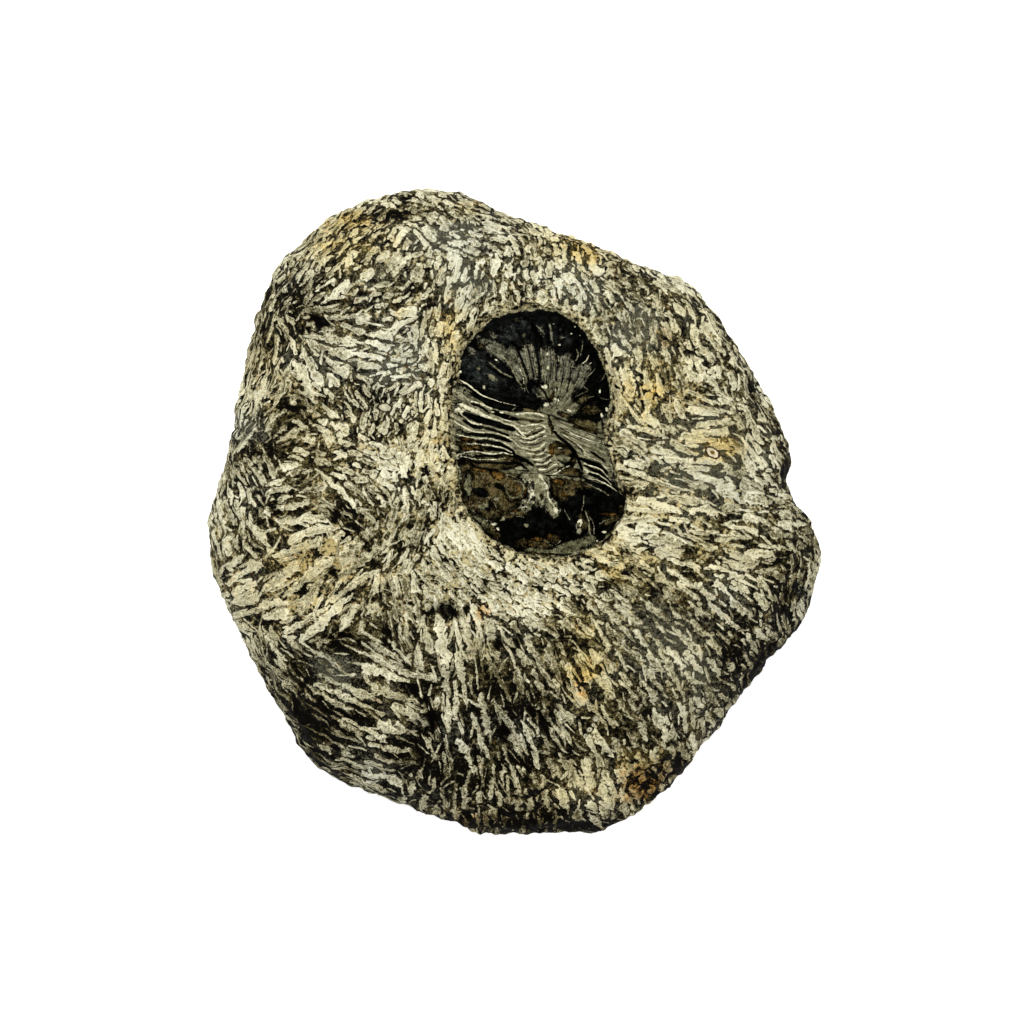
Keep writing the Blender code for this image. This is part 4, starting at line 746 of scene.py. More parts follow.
def unrolled_points(block, rng):
    """The corners of the unrolled skin's edge, and the points within it."""
    zones = []
    for pitch, low, high in MESH_ZONES:
        q = lattice(pitch, CANVAS_HALF - 1)
        q += rng.normal(0, JITTER * pitch, q.shape)
        place = block.place_of(q)[1]
        zones.append(q[(place > low) & (place <= high)])
    q = np.concatenate(zones)
    q = q[past_hollow(*q.T) > 0.3]
    floor = lattice(FLOOR_PITCH, HOLLOW_HALF) + HOLLOW_CENTRE
    floor = floor[past_hollow(*floor.T) < -FLOOR_INSET - WALL_LEAN]
    rings = []
    for offset in WALL_RINGS:
        bearing = even_bearings(RING_CORNERS, rng.random())
        r = reach(HOLLOW_OUTLINE, HOLLOW_CENTRE, bearing) + offset
        rings.append(polar(r, bearing) + HOLLOW_CENTRE)
    bearing = even_bearings(BASE_CORNERS)
    edge = np.interp(bearing, block.bearings, block.edge, period=FULL_TURN)
    return polar(edge, bearing), np.concatenate([q, floor, *rings])


def triangles_inside(corners, others):
    """Delaunay triangles of these points inside the loop that the corners make. Corners come first."""
    count = len(corners)
    points = [Vector(p) for p in np.concatenate([corners, others])]
    edges = [(i, (i + 1) % count) for i in range(count)]
    made, _, faces, origins, _, _ = delaunay_2d_cdt(points, edges, [], 1, 1e-7, True)
    where = {origin[0]: i for i, origin in enumerate(origins) if origin}
    order = [where[i] for i in range(count)]
    return np.array([tuple(p) for p in made]), np.array(faces), np.array(order)


def turned(points, faces, up):
    """The triangles, all turned over if they look the wrong way on the whole."""
    a, b, c = (points[faces[:, k]] for k in range(3))
    looks_up = np.cross(b - a, c - a)[:, 2].sum() > 0
    return faces if looks_up == up else faces[:, ::-1]


def facing(points, faces):
    """Unit normals at the points of a triangle mesh."""
    a, b, c = (points[faces[:, k]] for k in range(3))
    across = np.cross(b - a, c - a)
    total = np.zeros_like(points)
    for k in range(3):
        for axis in range(3):
            total[:, axis] += np.bincount(faces[:, k], across[:, axis], len(points))
    return total / np.maximum(np.linalg.norm(total, axis=1, keepdims=True), 1e-12)


class Canvas:
    """The unrolled surface as a fine grid that knows the two strokes nearest to each of its cells."""

    def __init__(self):
        side = int(2 * CANVAS_HALF / CELL)
        self.lift = np.zeros((side, side))
        self.near = np.full((2, side, side), NEAREST)
        self.owner = np.full((2, side, side), -1)
        self.used = np.zeros((side // 2, side // 2), bool)

    def free(self, stroke):
        """Whether nothing is drawn along the middle line of this stroke."""
        x, y, turn, half_length = stroke[:4]
        along = PROBES * half_length
        column = ((x + along * math.cos(turn) + CANVAS_HALF) / (2 * CELL)).astype(int)
        row = ((y + along * math.sin(turn) + CANVAS_HALF) / (2 * CELL)).astype(int)
        return not self.used[row, column].any()

    def draw(self, number, stroke, crest, room):
        """Draws one stroke as a low flat-topped bar, and marks the ground round it as used."""
        x, y, _, half_length, half_width = stroke[:5]
        far = int((half_length + half_width + NEAREST) / CELL) + 2
        column, row = int((x + CANVAS_HALF) / CELL), int((y + CANVAS_HALF) / CELL)
        rows, columns = slice(row - far, row + far), slice(column - far, column + far)
        dy, dx = np.mgrid[rows, columns] * CELL - CANVAS_HALF
        along, across = np.abs(in_stroke(dx - x, dy - y, stroke))
        inside = half_width * (across - np.sqrt(1 - np.minimum(along, 1) ** 4))
        away = np.where(along <= 1, inside, np.hypot(half_width * across, half_length * (along - 1)))
        height = crest * (1 - smooth(away / half_width, *STROKE_SIDES))
        self.lift[rows, columns] = np.maximum(self.lift[rows, columns], height)
        first, second = self.near[:, rows, columns]
        closer, runner_up = away < first, away < second
        owners = self.owner[:, rows, columns]
        second[:] = np.where(closer, first, np.where(runner_up, away, second))
        owners[1] = np.where(closer, owners[0], np.where(runner_up, number, owners[1]))
        first[:] = np.where(closer, away, first)
        owners[0] = np.where(closer, number, owners[0])
        near = ((along < END_ROOM) & (across < room))[::2, ::2]
        low, left = rows.start // 2, columns.start // 2
        self.used[low : low + near.shape[0], left : left + near.shape[1]] |= near

    def height_at(self, q):
        """The strokes' height at unrolled points, blended between cells."""
        column = (q[:, 0] + CANVAS_HALF) / CELL
        row = (q[:, 1] + CANVAS_HALF) / CELL
        i, j = row.astype(int), column.astype(int)
        return between(self.lift, i, i + 1, j, row - i, column - j)

    def owners_at(self, q):
        """The numbers of the two strokes nearest to unrolled points, or -1."""
        cell = np.round((q + CANVAS_HALF) / CELL).astype(int)
        return self.owner[:, cell[:, 1], cell[:, 0]]


def in_stroke(dx, dy, stroke):
    """How far along and across a stroke points are, as shares of its half length and half width."""
    turn, half_length, half_width, bend, taper = stroke[2:7]
    along = (dx * np.cos(turn) + dy * np.sin(turn)) / half_length
    across = dy * np.cos(turn) - dx * np.sin(turn) - bend * half_length * along**2
    return along, across / (half_width * (1 + taper * np.clip(along, -1.2, 1.2)))


def stroke_habits(q):
    """The bearing, length and width that strokes have at unrolled points, and the room they keep."""
    marks = np.array(STROKES)
    apart = ((q[:, None, :] - marks[None, :, :2]) ** 2).sum(2)
    pull = 1 / (apart + PULL_BLUR) ** PULL_FALL
    pull /= pull.sum(1, keepdims=True)
    twice = np.radians(2 * marks[:, 2])
    turn = 0.5 * np.arctan2(pull @ np.sin(twice), pull @ np.cos(twice))
    room = np.full(len(q), STROKE_ROOM)
    for x, y, spread_x, spread_y, more in CROWDING:
        room += more * oval(*q.T, x, y, spread_x, spread_y, 0)
    return turn, pull @ marks[:, 3], pull @ marks[:, 4], room


def chisel(block, canvas):
    """Lays the strokes of the air scribe over the unrolled surface: broad ones, then fine ones over them."""
    rng = np.random.default_rng(STROKE_SEED)
    laid, half = [], CANVAS_HALF - CANVAS_MARGIN
    for tries, longer, wider, swing, top, keep_off in STROKE_KINDS:
        q = rng.uniform(-half, half, (tries, 2))
        place = block.place_of(q)[1]
        q = q[(place < STROKES_END) & (past_hollow(*q.T) > STROKES_START)]
        turn, length, width, room = stroke_habits(q)
        count = len(q)
        turn = turn + rng.normal(0, swing, count)
        half_length = 0.5 * longer * length * rng.lognormal(0, LENGTH_SPREAD, count)
        half_width = 0.5 * wider * width * rng.lognormal(0, WIDTH_SPREAD, count)
        bend = rng.normal(0, BEND_SPREAD, count)
        taper = rng.uniform(-TAPER_SPREAD, TAPER_SPREAD, count)
        crest = rng.uniform(LOWEST_CREST, 1.0, count) * top
        tone = rng.random(count)
        canvas.used[:] = False
        for k in range(count):
            stroke = (*q[k], turn[k], half_length[k], half_width[k], bend[k], taper[k], tone[k])
            if canvas.free(stroke):
                canvas.draw(len(laid), stroke, crest[k], room[k] * keep_off)
                laid.append(stroke)
    return np.array(laid)


def marks_of(corners, owner, laid):
    """For each corner of each triangle, its place along and across the stroke that owns it, and its tone."""
    stroke = laid[owner].T[:, :, None]
    along, across = in_stroke(corners[:, :, 0] - stroke[0], corners[:, :, 1] - stroke[1], stroke)
    mark = np.stack([along, across, np.broadcast_to(stroke[7], along.shape)], axis=2)
    mark[owner < 0] = (FAR_OFF, FAR_OFF, 0.5)
    return mark.clip(-FAR_OFF, FAR_OFF)


def stone_lift(points, strength, place, past, stroke):
    """How far lumps, strokes and grain, and the lumps along the edge, stand out from the smooth skin."""
    lift = bumps(points, LUMPS) * strength
    lift += STROKE_LIFT * stroke * smooth(past, -0.6, 0.6)
    lift += bumps(points, GRAIN) * smooth(past, 0.0, 0.6)
    edge_lumps = bumps(points, EDGE_LUMPS) * smooth(place, 0.84, 0.98)
    return lift + edge_lumps * (1 - 0.4 * smooth(place, 1.1, 1.4))


def stone_sole(points, rim):
    """The level underside within the rim: the points that it adds, and its triangles."""
    corners = points[rim, :2]
    inner = lattice(SOLE_PITCH, BLOCK_HALF)
    bearing = np.arctan2(inner[:, 1], inner[:, 0]) % FULL_TURN
    out = np.interp(bearing, even_bearings(BASE_CORNERS), np.hypot(*corners.T), period=FULL_TURN)
    flat, faces, order = triangles_inside(corners, inner[np.hypot(*inner.T) < out - SOLE_PITCH])
    fresh = np.ones(len(flat), bool)
    fresh[order] = False
    number = len(points) + np.cumsum(fresh) - 1
    number[order] = rim
    added = on_level(*flat[fresh].T)
    return added, turned(np.concatenate([points, added]), number[faces], up=False)


def stone_tints(points, place):
    """The stone's tints. Its lower edge is darkened by painted shade in broken patches."""
    tints = dict.fromkeys(STONE_PATCHES, 0)
    x, y = wander(*points[:, :2].T, 31.0, 1.2)
    for tint, ovals in STONE_PATCHES.items():
        for *patch, strength in ovals:
            tints[tint] = np.maximum(tints[tint], strength * oval(x, y, *patch))
    # painted shade: the edge darkened on the block's lower side, in broken patches
    edge_shade = smooth(place, 0.93, 1.0) * (1 - 0.75 * smooth(place, 0.98, 1.15))
    edge_shade = edge_shade * (0.45 + 1.5 * rough(points, 6.0, 2.7)).clip(0, 1)
    low_side = smooth(0.5 * points[:, 0] - points[:, 1], -30, 20)
    tints["painted_shade"] = (tints["painted_shade"] + EDGE_SHADE * edge_shade * low_side).clip(0, 1)
    return tints


def make_block(finish):
    """The block of limestone, one closed skin."""
    rng = np.random.default_rng(MESH_SEED)
    block, canvas = Block(), Canvas()
    laid = chisel(block, canvas)
    q, faces, rim = triangles_inside(*unrolled_points(block, rng))
    points, strength, place, past = block.skin(q)
    faces = turned(points, faces, up=True)
    lift = stone_lift(points, strength, place, past, canvas.height_at(q))
    points = points + facing(points, faces) * lift[:, None]
    points[rim, 2] = 0.0
    points[:, 2] = points[:, 2].clip(0)
    sole_points, sole_faces = stone_sole(points, rim)
    verts, tris = np.concatenate([points, sole_points]), np.concatenate([faces, sole_faces])

    fields = {**stone_tints(points, place), "past": past}
    fields = {name: np.pad(values, (0, len(sole_points))) for name, values in fields.items()}
    sole_chart = verts[sole_faces.ravel(), :2] * SOLE_SCALE + SOLE_MIDDLE
    scale = 0.5 / (block.edge.max() + CHART_MARGIN)
    chart = np.concatenate([q[faces.ravel()] * scale + 0.5, sole_chart])
    corners = np.concatenate([q[faces], np.full((len(sole_faces), 3, 2), CANVAS_HALF)])
    owners = canvas.owners_at(q[faces].mean(axis=1))
    owners = np.pad(owners, ((0, 0), (0, len(sole_faces))), constant_values=-1)
    marks = {f"mark_{k + 1}": marks_of(corners, owners[k], laid) for k in range(2)}
    return make_mesh("matrix_stone", verts, tris, finish, fields, chart, marks)


def painted(x, y, patches, lines):
    """How strongly each tint covers each point: ovals first, then lines, each hiding what lies under it."""
    tints = {tint: np.zeros_like(x) for tint in TINTS}
    covers = [(tint, strength * oval(x, y, *patch)) for tint, *patch, strength in patches]
    covers += [(tint, strength * beside(x, y, points, width)) for tint, width, strength, *points in lines]
    for tint, cover in covers:
        own = np.maximum(tints.get(tint, 0), cover)
        hidden = 1 - smooth(cover, 0.25, 0.65)
        tints = {name: values * hidden for name, values in tints.items()}
        if tint in tints:
            tints[tint] = own
    return tints


def beside(x, y, points, half_width):
    """1 on a smooth line through these points, falling away past its half width. Its ends are finer."""
    line = open_line(points, np.linspace(0, 1, 5 * (len(points) - 1) + 1))
    room = 3 * half_width
    low, high = line.min(axis=0) - room, line.max(axis=0) + room
    near = (x > low[0]) & (x < high[0]) & (y > low[1]) & (y < high[1])
    here = np.column_stack([x[near], y[near]])
    best, spot = np.full(len(here), 9.0), np.zeros(len(here))
    for k, (start, end) in enumerate(zip(line[:-1], line[1:])):
        step = end - start
        share = ((here - start) @ step / (step @ step)).clip(0, 1)
        away = np.hypot(*(here - start - share[:, None] * step).T)
        spot = np.where(away < best, (k + share) / (len(line) - 1), spot)
        best = np.minimum(best, away)
    width = half_width * (0.55 + 0.45 * np.sqrt(np.sin(math.pi * spot).clip(0)))
    cover = np.zeros_like(x)
    cover[near] = np.exp(-((best / width) ** 2))
    return cover


def thorax_point(station, t):
    """Where the thorax's line at t, from the tail (0) to the head (1), lies at stations from -1 to 1."""
    station, t = np.broadcast_arrays(np.asarray(station, float), np.asarray(t, float))
    lines = np.array([open_line(line, t) for line in (LEFT_TIPS, LEFT_FURROW, RIGHT_FURROW, RIGHT_TIPS)])
    knots = (-1, *FURROW_STATIONS, 1)
    span = np.clip(np.searchsorted(knots, station, "right") - 1, 0, 2)
    low, high = np.array(knots)[span], np.array(knots)[span + 1]
    share = ((station - low) / (high - low))[..., None]
    near = np.take_along_axis(lines, span[None, ..., None], 0)[0]
    far = np.take_along_axis(lines, span[None, ..., None] + 1, 0)[0]
    spot = near * (1 - share) + far * share
    bow = np.where(station < knots[1], np.sin(math.pi * (station + 1) / (knots[1] + 1)), 0)
    return spot - np.stack([0 * bow, PLEURA_BOW * bow], axis=-1)


def margin(t):
    """The edge that a shield turns to the thorax, from right to left."""
    return tuple(map(tuple, thorax_point(np.array(MARGIN_STATIONS), t)))


def shield_share(outer, skirt, centre, x, y):
    """Where points lie on a shield, from its centre (0) to its edge (1)."""
    outline = spread_out(outer, centre, REACH_OUT) + skirt
    dx, dy = x - centre[0], y - centre[1]
    return np.clip(np.hypot(dx, dy) / reach(outline, centre, np.arctan2(dy, dx)), 0, 1)


def spread_out(points, centre, by):
    """An outline's points moved away from a centre."""
    away = np.array(points) - centre
    return tuple(map(tuple, centre + away * (1 + by / np.hypot(*away.T))[:, None]))


def even_loop(outline):
    """Points at even steps round a smooth closed outline."""
    loop = loop_through(outline, 24)
    ring = np.vstack([loop, loop[:1]])
    run = np.concatenate([[0], np.cumsum(np.hypot(*np.diff(ring, axis=0).T))])
    even = np.arange(0, run[-1] - 0.5 * PLATE_PITCH, EDGE_PITCH)
    return np.column_stack([np.interp(even, run, ring[:, k]) for k in range(2)])


def make_shield(node, centre, outline, sculpt, finish):
    """A shield: a finely meshed top that sculpt shapes and tints, an upright edge and a level underside."""
    corners = even_loop(outline)
    inner = lattice(PLATE_PITCH, HOLLOW_HALF) + centre
    bearing = np.arctan2(*(inner - centre).T[::-1])
    inner = inner[np.hypot(*(inner - centre).T) < reach(outline, centre, bearing) - 0.7 * PLATE_PITCH]
    flat, faces, rim = triangles_inside(corners, inner)
    height, tints = sculpt(*flat.T)
    top = np.column_stack([flat, FLOOR + height])
    foot = np.column_stack([flat[rim], np.full(len(rim), FLOOR + GAP)])
    verts = np.concatenate([top, foot])
    low = len(top) + np.arange(len(rim))
    after = np.roll(np.arange(len(rim)), -1)
    sides = np.concatenate([
        np.column_stack([rim, low, low[after]]),
        np.column_stack([rim, low[after], rim[after]]),
    ])
    (x, y), (next_x, next_y) = corners.T, np.roll(corners, -1, 0).T
    clockwise = np.sum(x * next_y - y * next_x) < 0
    _, under, order = triangles_inside(corners, np.zeros((0, 2)))
    place = np.empty(len(order), int)
    place[order] = low
    faces = np.concatenate([
        turned(top, faces, up=True),
        sides[:, ::-1] if clockwise else sides,
        turned(verts, place[under], up=False),
    ])
    fields = {tint: np.concatenate([values, values[rim]]) for tint, values in tints.items()}
    dress(make_mesh(node + "_shell", verts, faces, finish, fields, crisp=RIM_ANGLE), node)


def wander(x, y, seed, far):
    """Points moved about by noise, so that what is painted at them has a ragged edge."""
    dx, dy = (bumps(on_level(x, y), ((2.2, 1, s), (0.8, 0.45, s + 1))) for s in (seed, seed + 2))
    return x + far * dx, y + far * dy


def shell_tints(x, y, patches, lines, ragged):
    """The tints of the shell, and how far its pale crusts stand over the black between them."""
    tints = painted(*wander(x, y, 5.0, ragged), patches, lines)
    past = past_hollow(x, y) + 0.4 * rough(on_level(x, y), 1.6, 21.0)
    tints["sand"] = smooth(past, *SAND_REACH)
    pale = np.maximum(tints["bone"], 0.8 * tints["ash"])
    return tints, CRUST * smooth(pale, 0.2, 0.8) + 0.5 * CRUST * smooth(tints["worn"], 0.2, 0.8)


def sculpt_tail(x, y):
    """Height and tints of the tail shield: a low dome with ribs that spread from its front edge."""
    share = shield_share(TAIL_OUTER, TAIL_SKIRT, TAIL_APEX, x, y)
    height = TAIL_RIM + TAIL_RISE * (1 - share**TAIL_DOME)
    points = on_level(x, y)
    dx, dy = x - FAN_CENTRE[0], y - FAN_CENTRE[1]
    degrees, away = np.degrees(np.arctan2(dy, dx)), np.hypot(dx, dy)
    degrees = np.where(degrees < -90, degrees + 360, degrees) + 2.5 * rough(points, 3.0, 12.0)
    curl = RIB_CURL * share * smooth(degrees, *CURL_BEARINGS)
    fan = (degrees - curl - TAIL_FAN[0]) / (TAIL_FAN[1] - TAIL_FAN[0])
    ribs = np.cos(FULL_TURN * TAIL_RIBS * fan)
    height += RIB_RELIEF * ribs * smooth(away, 1.5, RIB_ONSET) * np.clip((1 - share) * 4, 0, 1)
    height += TAIL_AXIS_RISE * oval(x, y, *TAIL_AXIS)
    tints, crust = shell_tints(x, y, TAIL_PATCHES, TAIL_LINES, 0.16)
    tints["along"], tints["across"] = away, 0.2 * (degrees - curl)
    return bumps(points, TAIL_GRAIN, height) + crust, tints


def sculpt_head(x, y):
    """Height and tints of the head shield: a dome with its lobes and eyes."""
    share = shield_share(HEAD_OUTER, HEAD_SKIRT, HEAD_CENTRE, x, y)
    height = HEAD_RIM + HEAD_RISE * (1 - share**HEAD_DOME)
    for cx, cy, half_length, half_width, way, rise in HEAD_LOBES:
        height += rise * oval(x, y, cx, cy, half_length, half_width, way) * (1 - share**6)
    whorl = np.hypot(x - WHORL[0], y - WHORL[1])
    height += sum(size * np.exp(-(((whorl - radius) / size) ** 2)) for radius, size in WHORL_RIDGES)
    stations = np.linspace(-1, 1, 81)
    rear = thorax_point(stations, 1.0)
    behind = np.exp(-(((np.interp(x, *rear.T) - y) / COLLAR_WIDTH) ** 2))
    collar = np.interp(x, rear[:, 0], thorax_height(stations) - CREST_DROP)
    height += (np.maximum(height, collar) - height) * behind
    height += bumps(on_level(x, y), HEAD_GRAIN)
    tints, crust = shell_tints(x, y, HEAD_PATCHES, HEAD_LINES, 0.3)
    tints["along"], tints["across"] = 3 * x, 0.5 * y
    return height + crust, tints


def thorax_height(station):
    """Height of a segment's crest over the floor."""
    left, right = FURROW_STATIONS
    across = np.clip((2 * station - left - right) / (right - left), -1, 1)
    base = PLEURA_RISE[1] - FURROW_DEPTH
    axis = base + (AXIS_RISE - base) * np.sqrt(1 - across**2)
    out = np.where(station <= left, (left - station) / (1 + left), (station - right) / (1 - right)).clip(0)
    low, high = PLEURA_RISE
    pleura = high + (low - high) * out**1.5 - FURROW_DEPTH * np.exp(-((out / FURROW_WIDTH) ** 2))
    return np.where((station > left) & (station < right), axis, pleura)


def closed_strip(top):
    """The points and triangles of a closed body: this grid of points, upright walls and a level underside."""
    rear, front = top[:, :1].copy(), top[:, -1:].copy()
    rear[..., 2] = front[..., 2] = FLOOR + GAP
    ringed = np.concatenate([rear, top, front], axis=1)
    around = ringed.shape[1]
    index = np.arange(ringed.shape[0] * around).reshape(-1, around)
    a, b = index[:-1], index[1:]
    a_next, b_next = np.roll(a, -1, 1), np.roll(b, -1, 1)
    walls = np.stack([a, b, b_next, a_next], axis=-1).reshape(-1, 4)
    fan = np.array([(0, k, k + 1) for k in range(1, around - 1)])
    faces = np.concatenate([walls[:, [0, 1, 2]], walls[:, [0, 2, 3]], index[0][fan], index[-1][fan[:, ::-1]]])
    verts = ringed.reshape(-1, 3)
    a, b, c = (verts[faces[:, k]] for k in range(3))
    inside_out = np.einsum("ij,ij->", a, np.cross(b, c)) < 0
    return verts, faces[:, ::-1] if inside_out else faces


def make_segment(number, finish):
    """One segment of the thorax, a strip that curves across the body."""
    stations, profile = np.linspace(*STRIP_REACH, STRIP_COLUMNS), np.linspace(0, 1, STRIP_ROWS)
    station, across = np.meshgrid(stations, profile, indexing="ij")
    t = (number - STRIP_OVERLAP + (1 + 2 * STRIP_OVERLAP) * across) / SEGMENTS
    x, y = thorax_point(station, t).reshape(-1, 2).T
    station, across = station.ravel(), across.ravel()
    points = np.column_stack([x, y, np.full_like(x, number * 3.0)])  # each segment has noise of its own
    left = 1 - smooth(station, FURROW_STATIONS[0] - 0.1, FURROW_STATIONS[0] + 0.04)
    right = smooth(station, FURROW_STATIONS[1] - 0.02, FURROW_STATIONS[1] + 0.1)
    width = RIDGE_WIDTH * (1 + 0.5 * rough(points, 2.0, 9.0))
    ridge = np.exp(-(((across - RIDGE_PLACE - bumps(points, RIDGE_SHIFT)) / width) ** 2))
    round_top = 1 - (2 * across - 1.05) ** 2
    height = thorax_height(station) - CREST_DROP + SEGMENT_ROUNDING * round_top
    height += RIDGE_RISE * ridge * (left + right)
    height += bumps(on_level(x, y), SEGMENT_GRAIN)
    tints, crust = shell_tints(x, y, THORAX_PATCHES, THORAX_LINES, 0.16)
    tints["along"], tints["across"] = 13 * station, 1.2 * (number + across)
    grid = (STRIP_COLUMNS, STRIP_ROWS)
    verts, faces = closed_strip(np.column_stack([x, y, FLOOR + height + crust]).reshape(*grid, 3))
    fields = {k: np.pad(v.reshape(grid), ((0, 0), (1, 1)), mode="edge").ravel() for k, v in tints.items()}
    node = f"thorax_segment_{number + 1:02d}"
    crisp = RIM_ANGLE if number in (0, SEGMENTS - 1) else None
    dress(make_mesh(node + "_shell", verts, faces, finish, fields, crisp=crisp), node)


def dress(piece, node):
    """Puts a piece in place of a node of the solid model."""
    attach(piece, "root")
    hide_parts(node)


def add(name, data):
    """A new object in the scene."""
    obj = bpy.data.objects.new(name, data)
    bpy.context.scene.collection.objects.link(obj)
    return obj


def make_mesh(name, points, faces, finish, fields, chart=None, marks=None, crisp=None):
    """A smooth-shaded mesh from points in millimetres, with values per point (fields) and corner (marks)."""
    mesh = bpy.data.meshes.new(name)
    mesh.from_pydata((points * MM).tolist(), [], faces.tolist())
    for label, values in fields.items():
        mesh.attributes.new(label, "FLOAT", "POINT").data.foreach_set("value", values.astype(np.float32))
    for label, values in (marks or {}).items():
        data = mesh.attributes.new(label, "FLOAT_VECTOR", "CORNER").data
        data.foreach_set("vector", values.astype(np.float32).ravel())
    if chart is not None:
        mesh.uv_layers.new(name="OFBake").data.foreach_set("uv", chart.astype(np.float32).ravel())
    mesh.materials.append(finish)
    mesh.validate()
    mesh.shade_smooth()
    if crisp:
        mesh.set_sharp_from_angle(angle=crisp)
    return add(name, mesh)


# ---- Shader writing ---------------------------------------------------------------------------------------


class Wire:
    """A shader value. Arithmetic on it adds Math nodes."""

    def __init__(self, finish, socket):
        self.finish, self.socket = finish, socket

    @property
    def swing(self):
        """Noise about its middle, from -0.5 to 0.5."""
        return self - 0.5

    def __add__(self, other):
        return self.finish.math("ADD", self, other)

    def __sub__(self, other):
        return self.finish.math("SUBTRACT", self, other)

    def __rsub__(self, other):
        return self.finish.math("SUBTRACT", other, self)

    def __mul__(self, other):
        return self.finish.math("MULTIPLY", self, other)

    def __pow__(self, other):
        return self.finish.math("POWER", self, other)

    __radd__, __rmul__ = __add__, __mul__


class Finish:
    """A material under construction, whose Principled shader is fed by what its recipe works out."""

    def __init__(self, name, **constants):
        self.material = bpy.data.materials.new(name)
        self.material.use_nodes = True
        self.tree = self.material.node_tree
        self.shader = self.tree.nodes["Principled BSDF"]
        for label, value in constants.items():
            self.shader.inputs[label.replace("_", " ")].default_value = value
        self.place = self.node("ShaderNodeTexCoord", out="Object")

    def node(self, kind, settings=None, out=0, **sockets):
        """Adds a node, sets its settings, then its sockets' values or links, and returns one output."""
        node = self.tree.nodes.new(kind)
        for label, value in (settings or {}).items():
            setattr(node, label, value)
        for label, value in sockets.items():
            numbered = label[0] == "i" and label[1:].isdigit()
            self.join(node.inputs[int(label[1:]) if numbered else label], value)
        return Wire(self, node.outputs[out])

    def join(self, socket, value):
        """Links a shader value to a socket, or sets the socket to a number, colour or vector."""
        if isinstance(value, Wire):
            self.tree.links.new(value.socket, socket)
        elif isinstance(value, tuple) and socket.type == "RGBA":
            socket.default_value = (*value, 1.0)
        else:
            socket.default_value = value

    def math(self, operation, a, b=0.0):
        """A Math node's result."""
        return self.node("ShaderNodeMath", {"operation": operation}, i0=a, i1=b)

    def mix(self, factor, a, b):
        """The colour a where the factor is 0, and b where it is 1."""
        return self.node("ShaderNodeMix", {"data_type": "RGBA"}, out=2, i0=factor, i6=a, i7=b)

    def blend(self, factor, a, b):
        """The number a where the factor is 0, and b where it is 1."""
        return self.node("ShaderNodeMix", {"data_type": "FLOAT"}, i0=factor, i2=a, i3=b)

    def tinted(self, factor, colour, by):
        """The colour multiplied by another, as far as the factor goes."""
        settings = {"data_type": "RGBA", "blend_type": "MULTIPLY"}
        return self.node("ShaderNodeMix", settings, out=2, i0=factor, i6=colour, i7=by)

    def step(self, value, low, high, start=0.0, end=1.0):
        """Eased from start at low to end at high."""
        settings = {"interpolation_type": "SMOOTHSTEP"}
        return self.node("ShaderNodeMapRange", settings, i0=value, i1=low, i2=high, i3=start, i4=end)

    def speckle(self, size, detail, seed, roughness=0.55):
        """Noise from 0 to 1 with grains of about this size in millimetres."""
        apart = (seed, seed * 0.7, seed * 1.3)
        spot = self.node("ShaderNodeVectorMath", {"operation": "ADD"}, i0=self.place, i1=apart)
        scale = 1 / (size * MM)
        return self.node("ShaderNodeTexNoise", Vector=spot, Scale=scale, Detail=detail, Roughness=roughness)

    def field(self, name):
        """What the mesh says by this name."""
        return self.node("ShaderNodeAttribute", {"attribute_name": name}, out="Fac")

    def split(self, vector):
        """The three numbers of a vector."""
        parts = self.node("ShaderNodeSeparateXYZ", i0=vector)
        return tuple(Wire(self, output) for output in parts.socket.node.outputs)

    def parts(self, name):
        """The three numbers of a vector field."""
        return self.split(self.node("ShaderNodeAttribute", {"attribute_name": name}, out="Vector"))

    def away_from(self, x, y, half_length, half_width, bearing):
        """How far places on the top lie from an oval's middle, where 1 is its edge. Below, it is large."""
        px, py, pz = self.split(self.place)
        c, s = math.cos(math.radians(bearing)), math.sin(math.radians(bearing))
        dx, dy = px - x * MM, py - y * MM
        along = (dx * c + dy * s) * (1 / (half_length * MM))
        across = (dy * c - dx * s) * (1 / (half_width * MM))
        return (along * along + across * across) ** 0.5 + 9.0 * self.math("LESS_THAN", pz, BITS_OVER)

    def done(self, colour, roughness, height, bump, depth):
        """Joins what was worked out to the shader, and gives the material."""
        self.join(self.shader.inputs["Base Color"], colour)
        self.join(self.shader.inputs["Roughness"], roughness)
        bumped = self.node("ShaderNodeBump", Strength=bump, Distance=depth * MM, Height=height)
        self.join(self.shader.inputs["Normal"], bumped)
        return self.material


# The stone's colours, from the painted shadow on the floor of its pits to its whitest chalk.
PIT_SHADOW = (0.0008, 0.0005, 0.0002)
GAP_BLACK, GAP_BROWN = (0.0014, 0.001, 0.0003), (0.085, 0.071, 0.028)
BARE_DARK, BARE_GREY = (0.03, 0.028, 0.015), (0.12, 0.117, 0.08)
CHALK = ((0.09, 0.077, 0.035), (0.46, 0.435, 0.285), (0.73, 0.705, 0.525))
# What its colour is multiplied by where it is stained.
FRINGE, COOL, RIM = (1.0, 0.86, 0.52), (0.74, 0.79, 0.9), (0.9, 0.84, 0.64)
STRAW, FRECKLE, OCHRE, RUST = (1.0, 0.86, 0.5), (0.8, 0.5, 0.24), (1.0, 0.82, 0.46), (0.85, 0.54, 0.24)


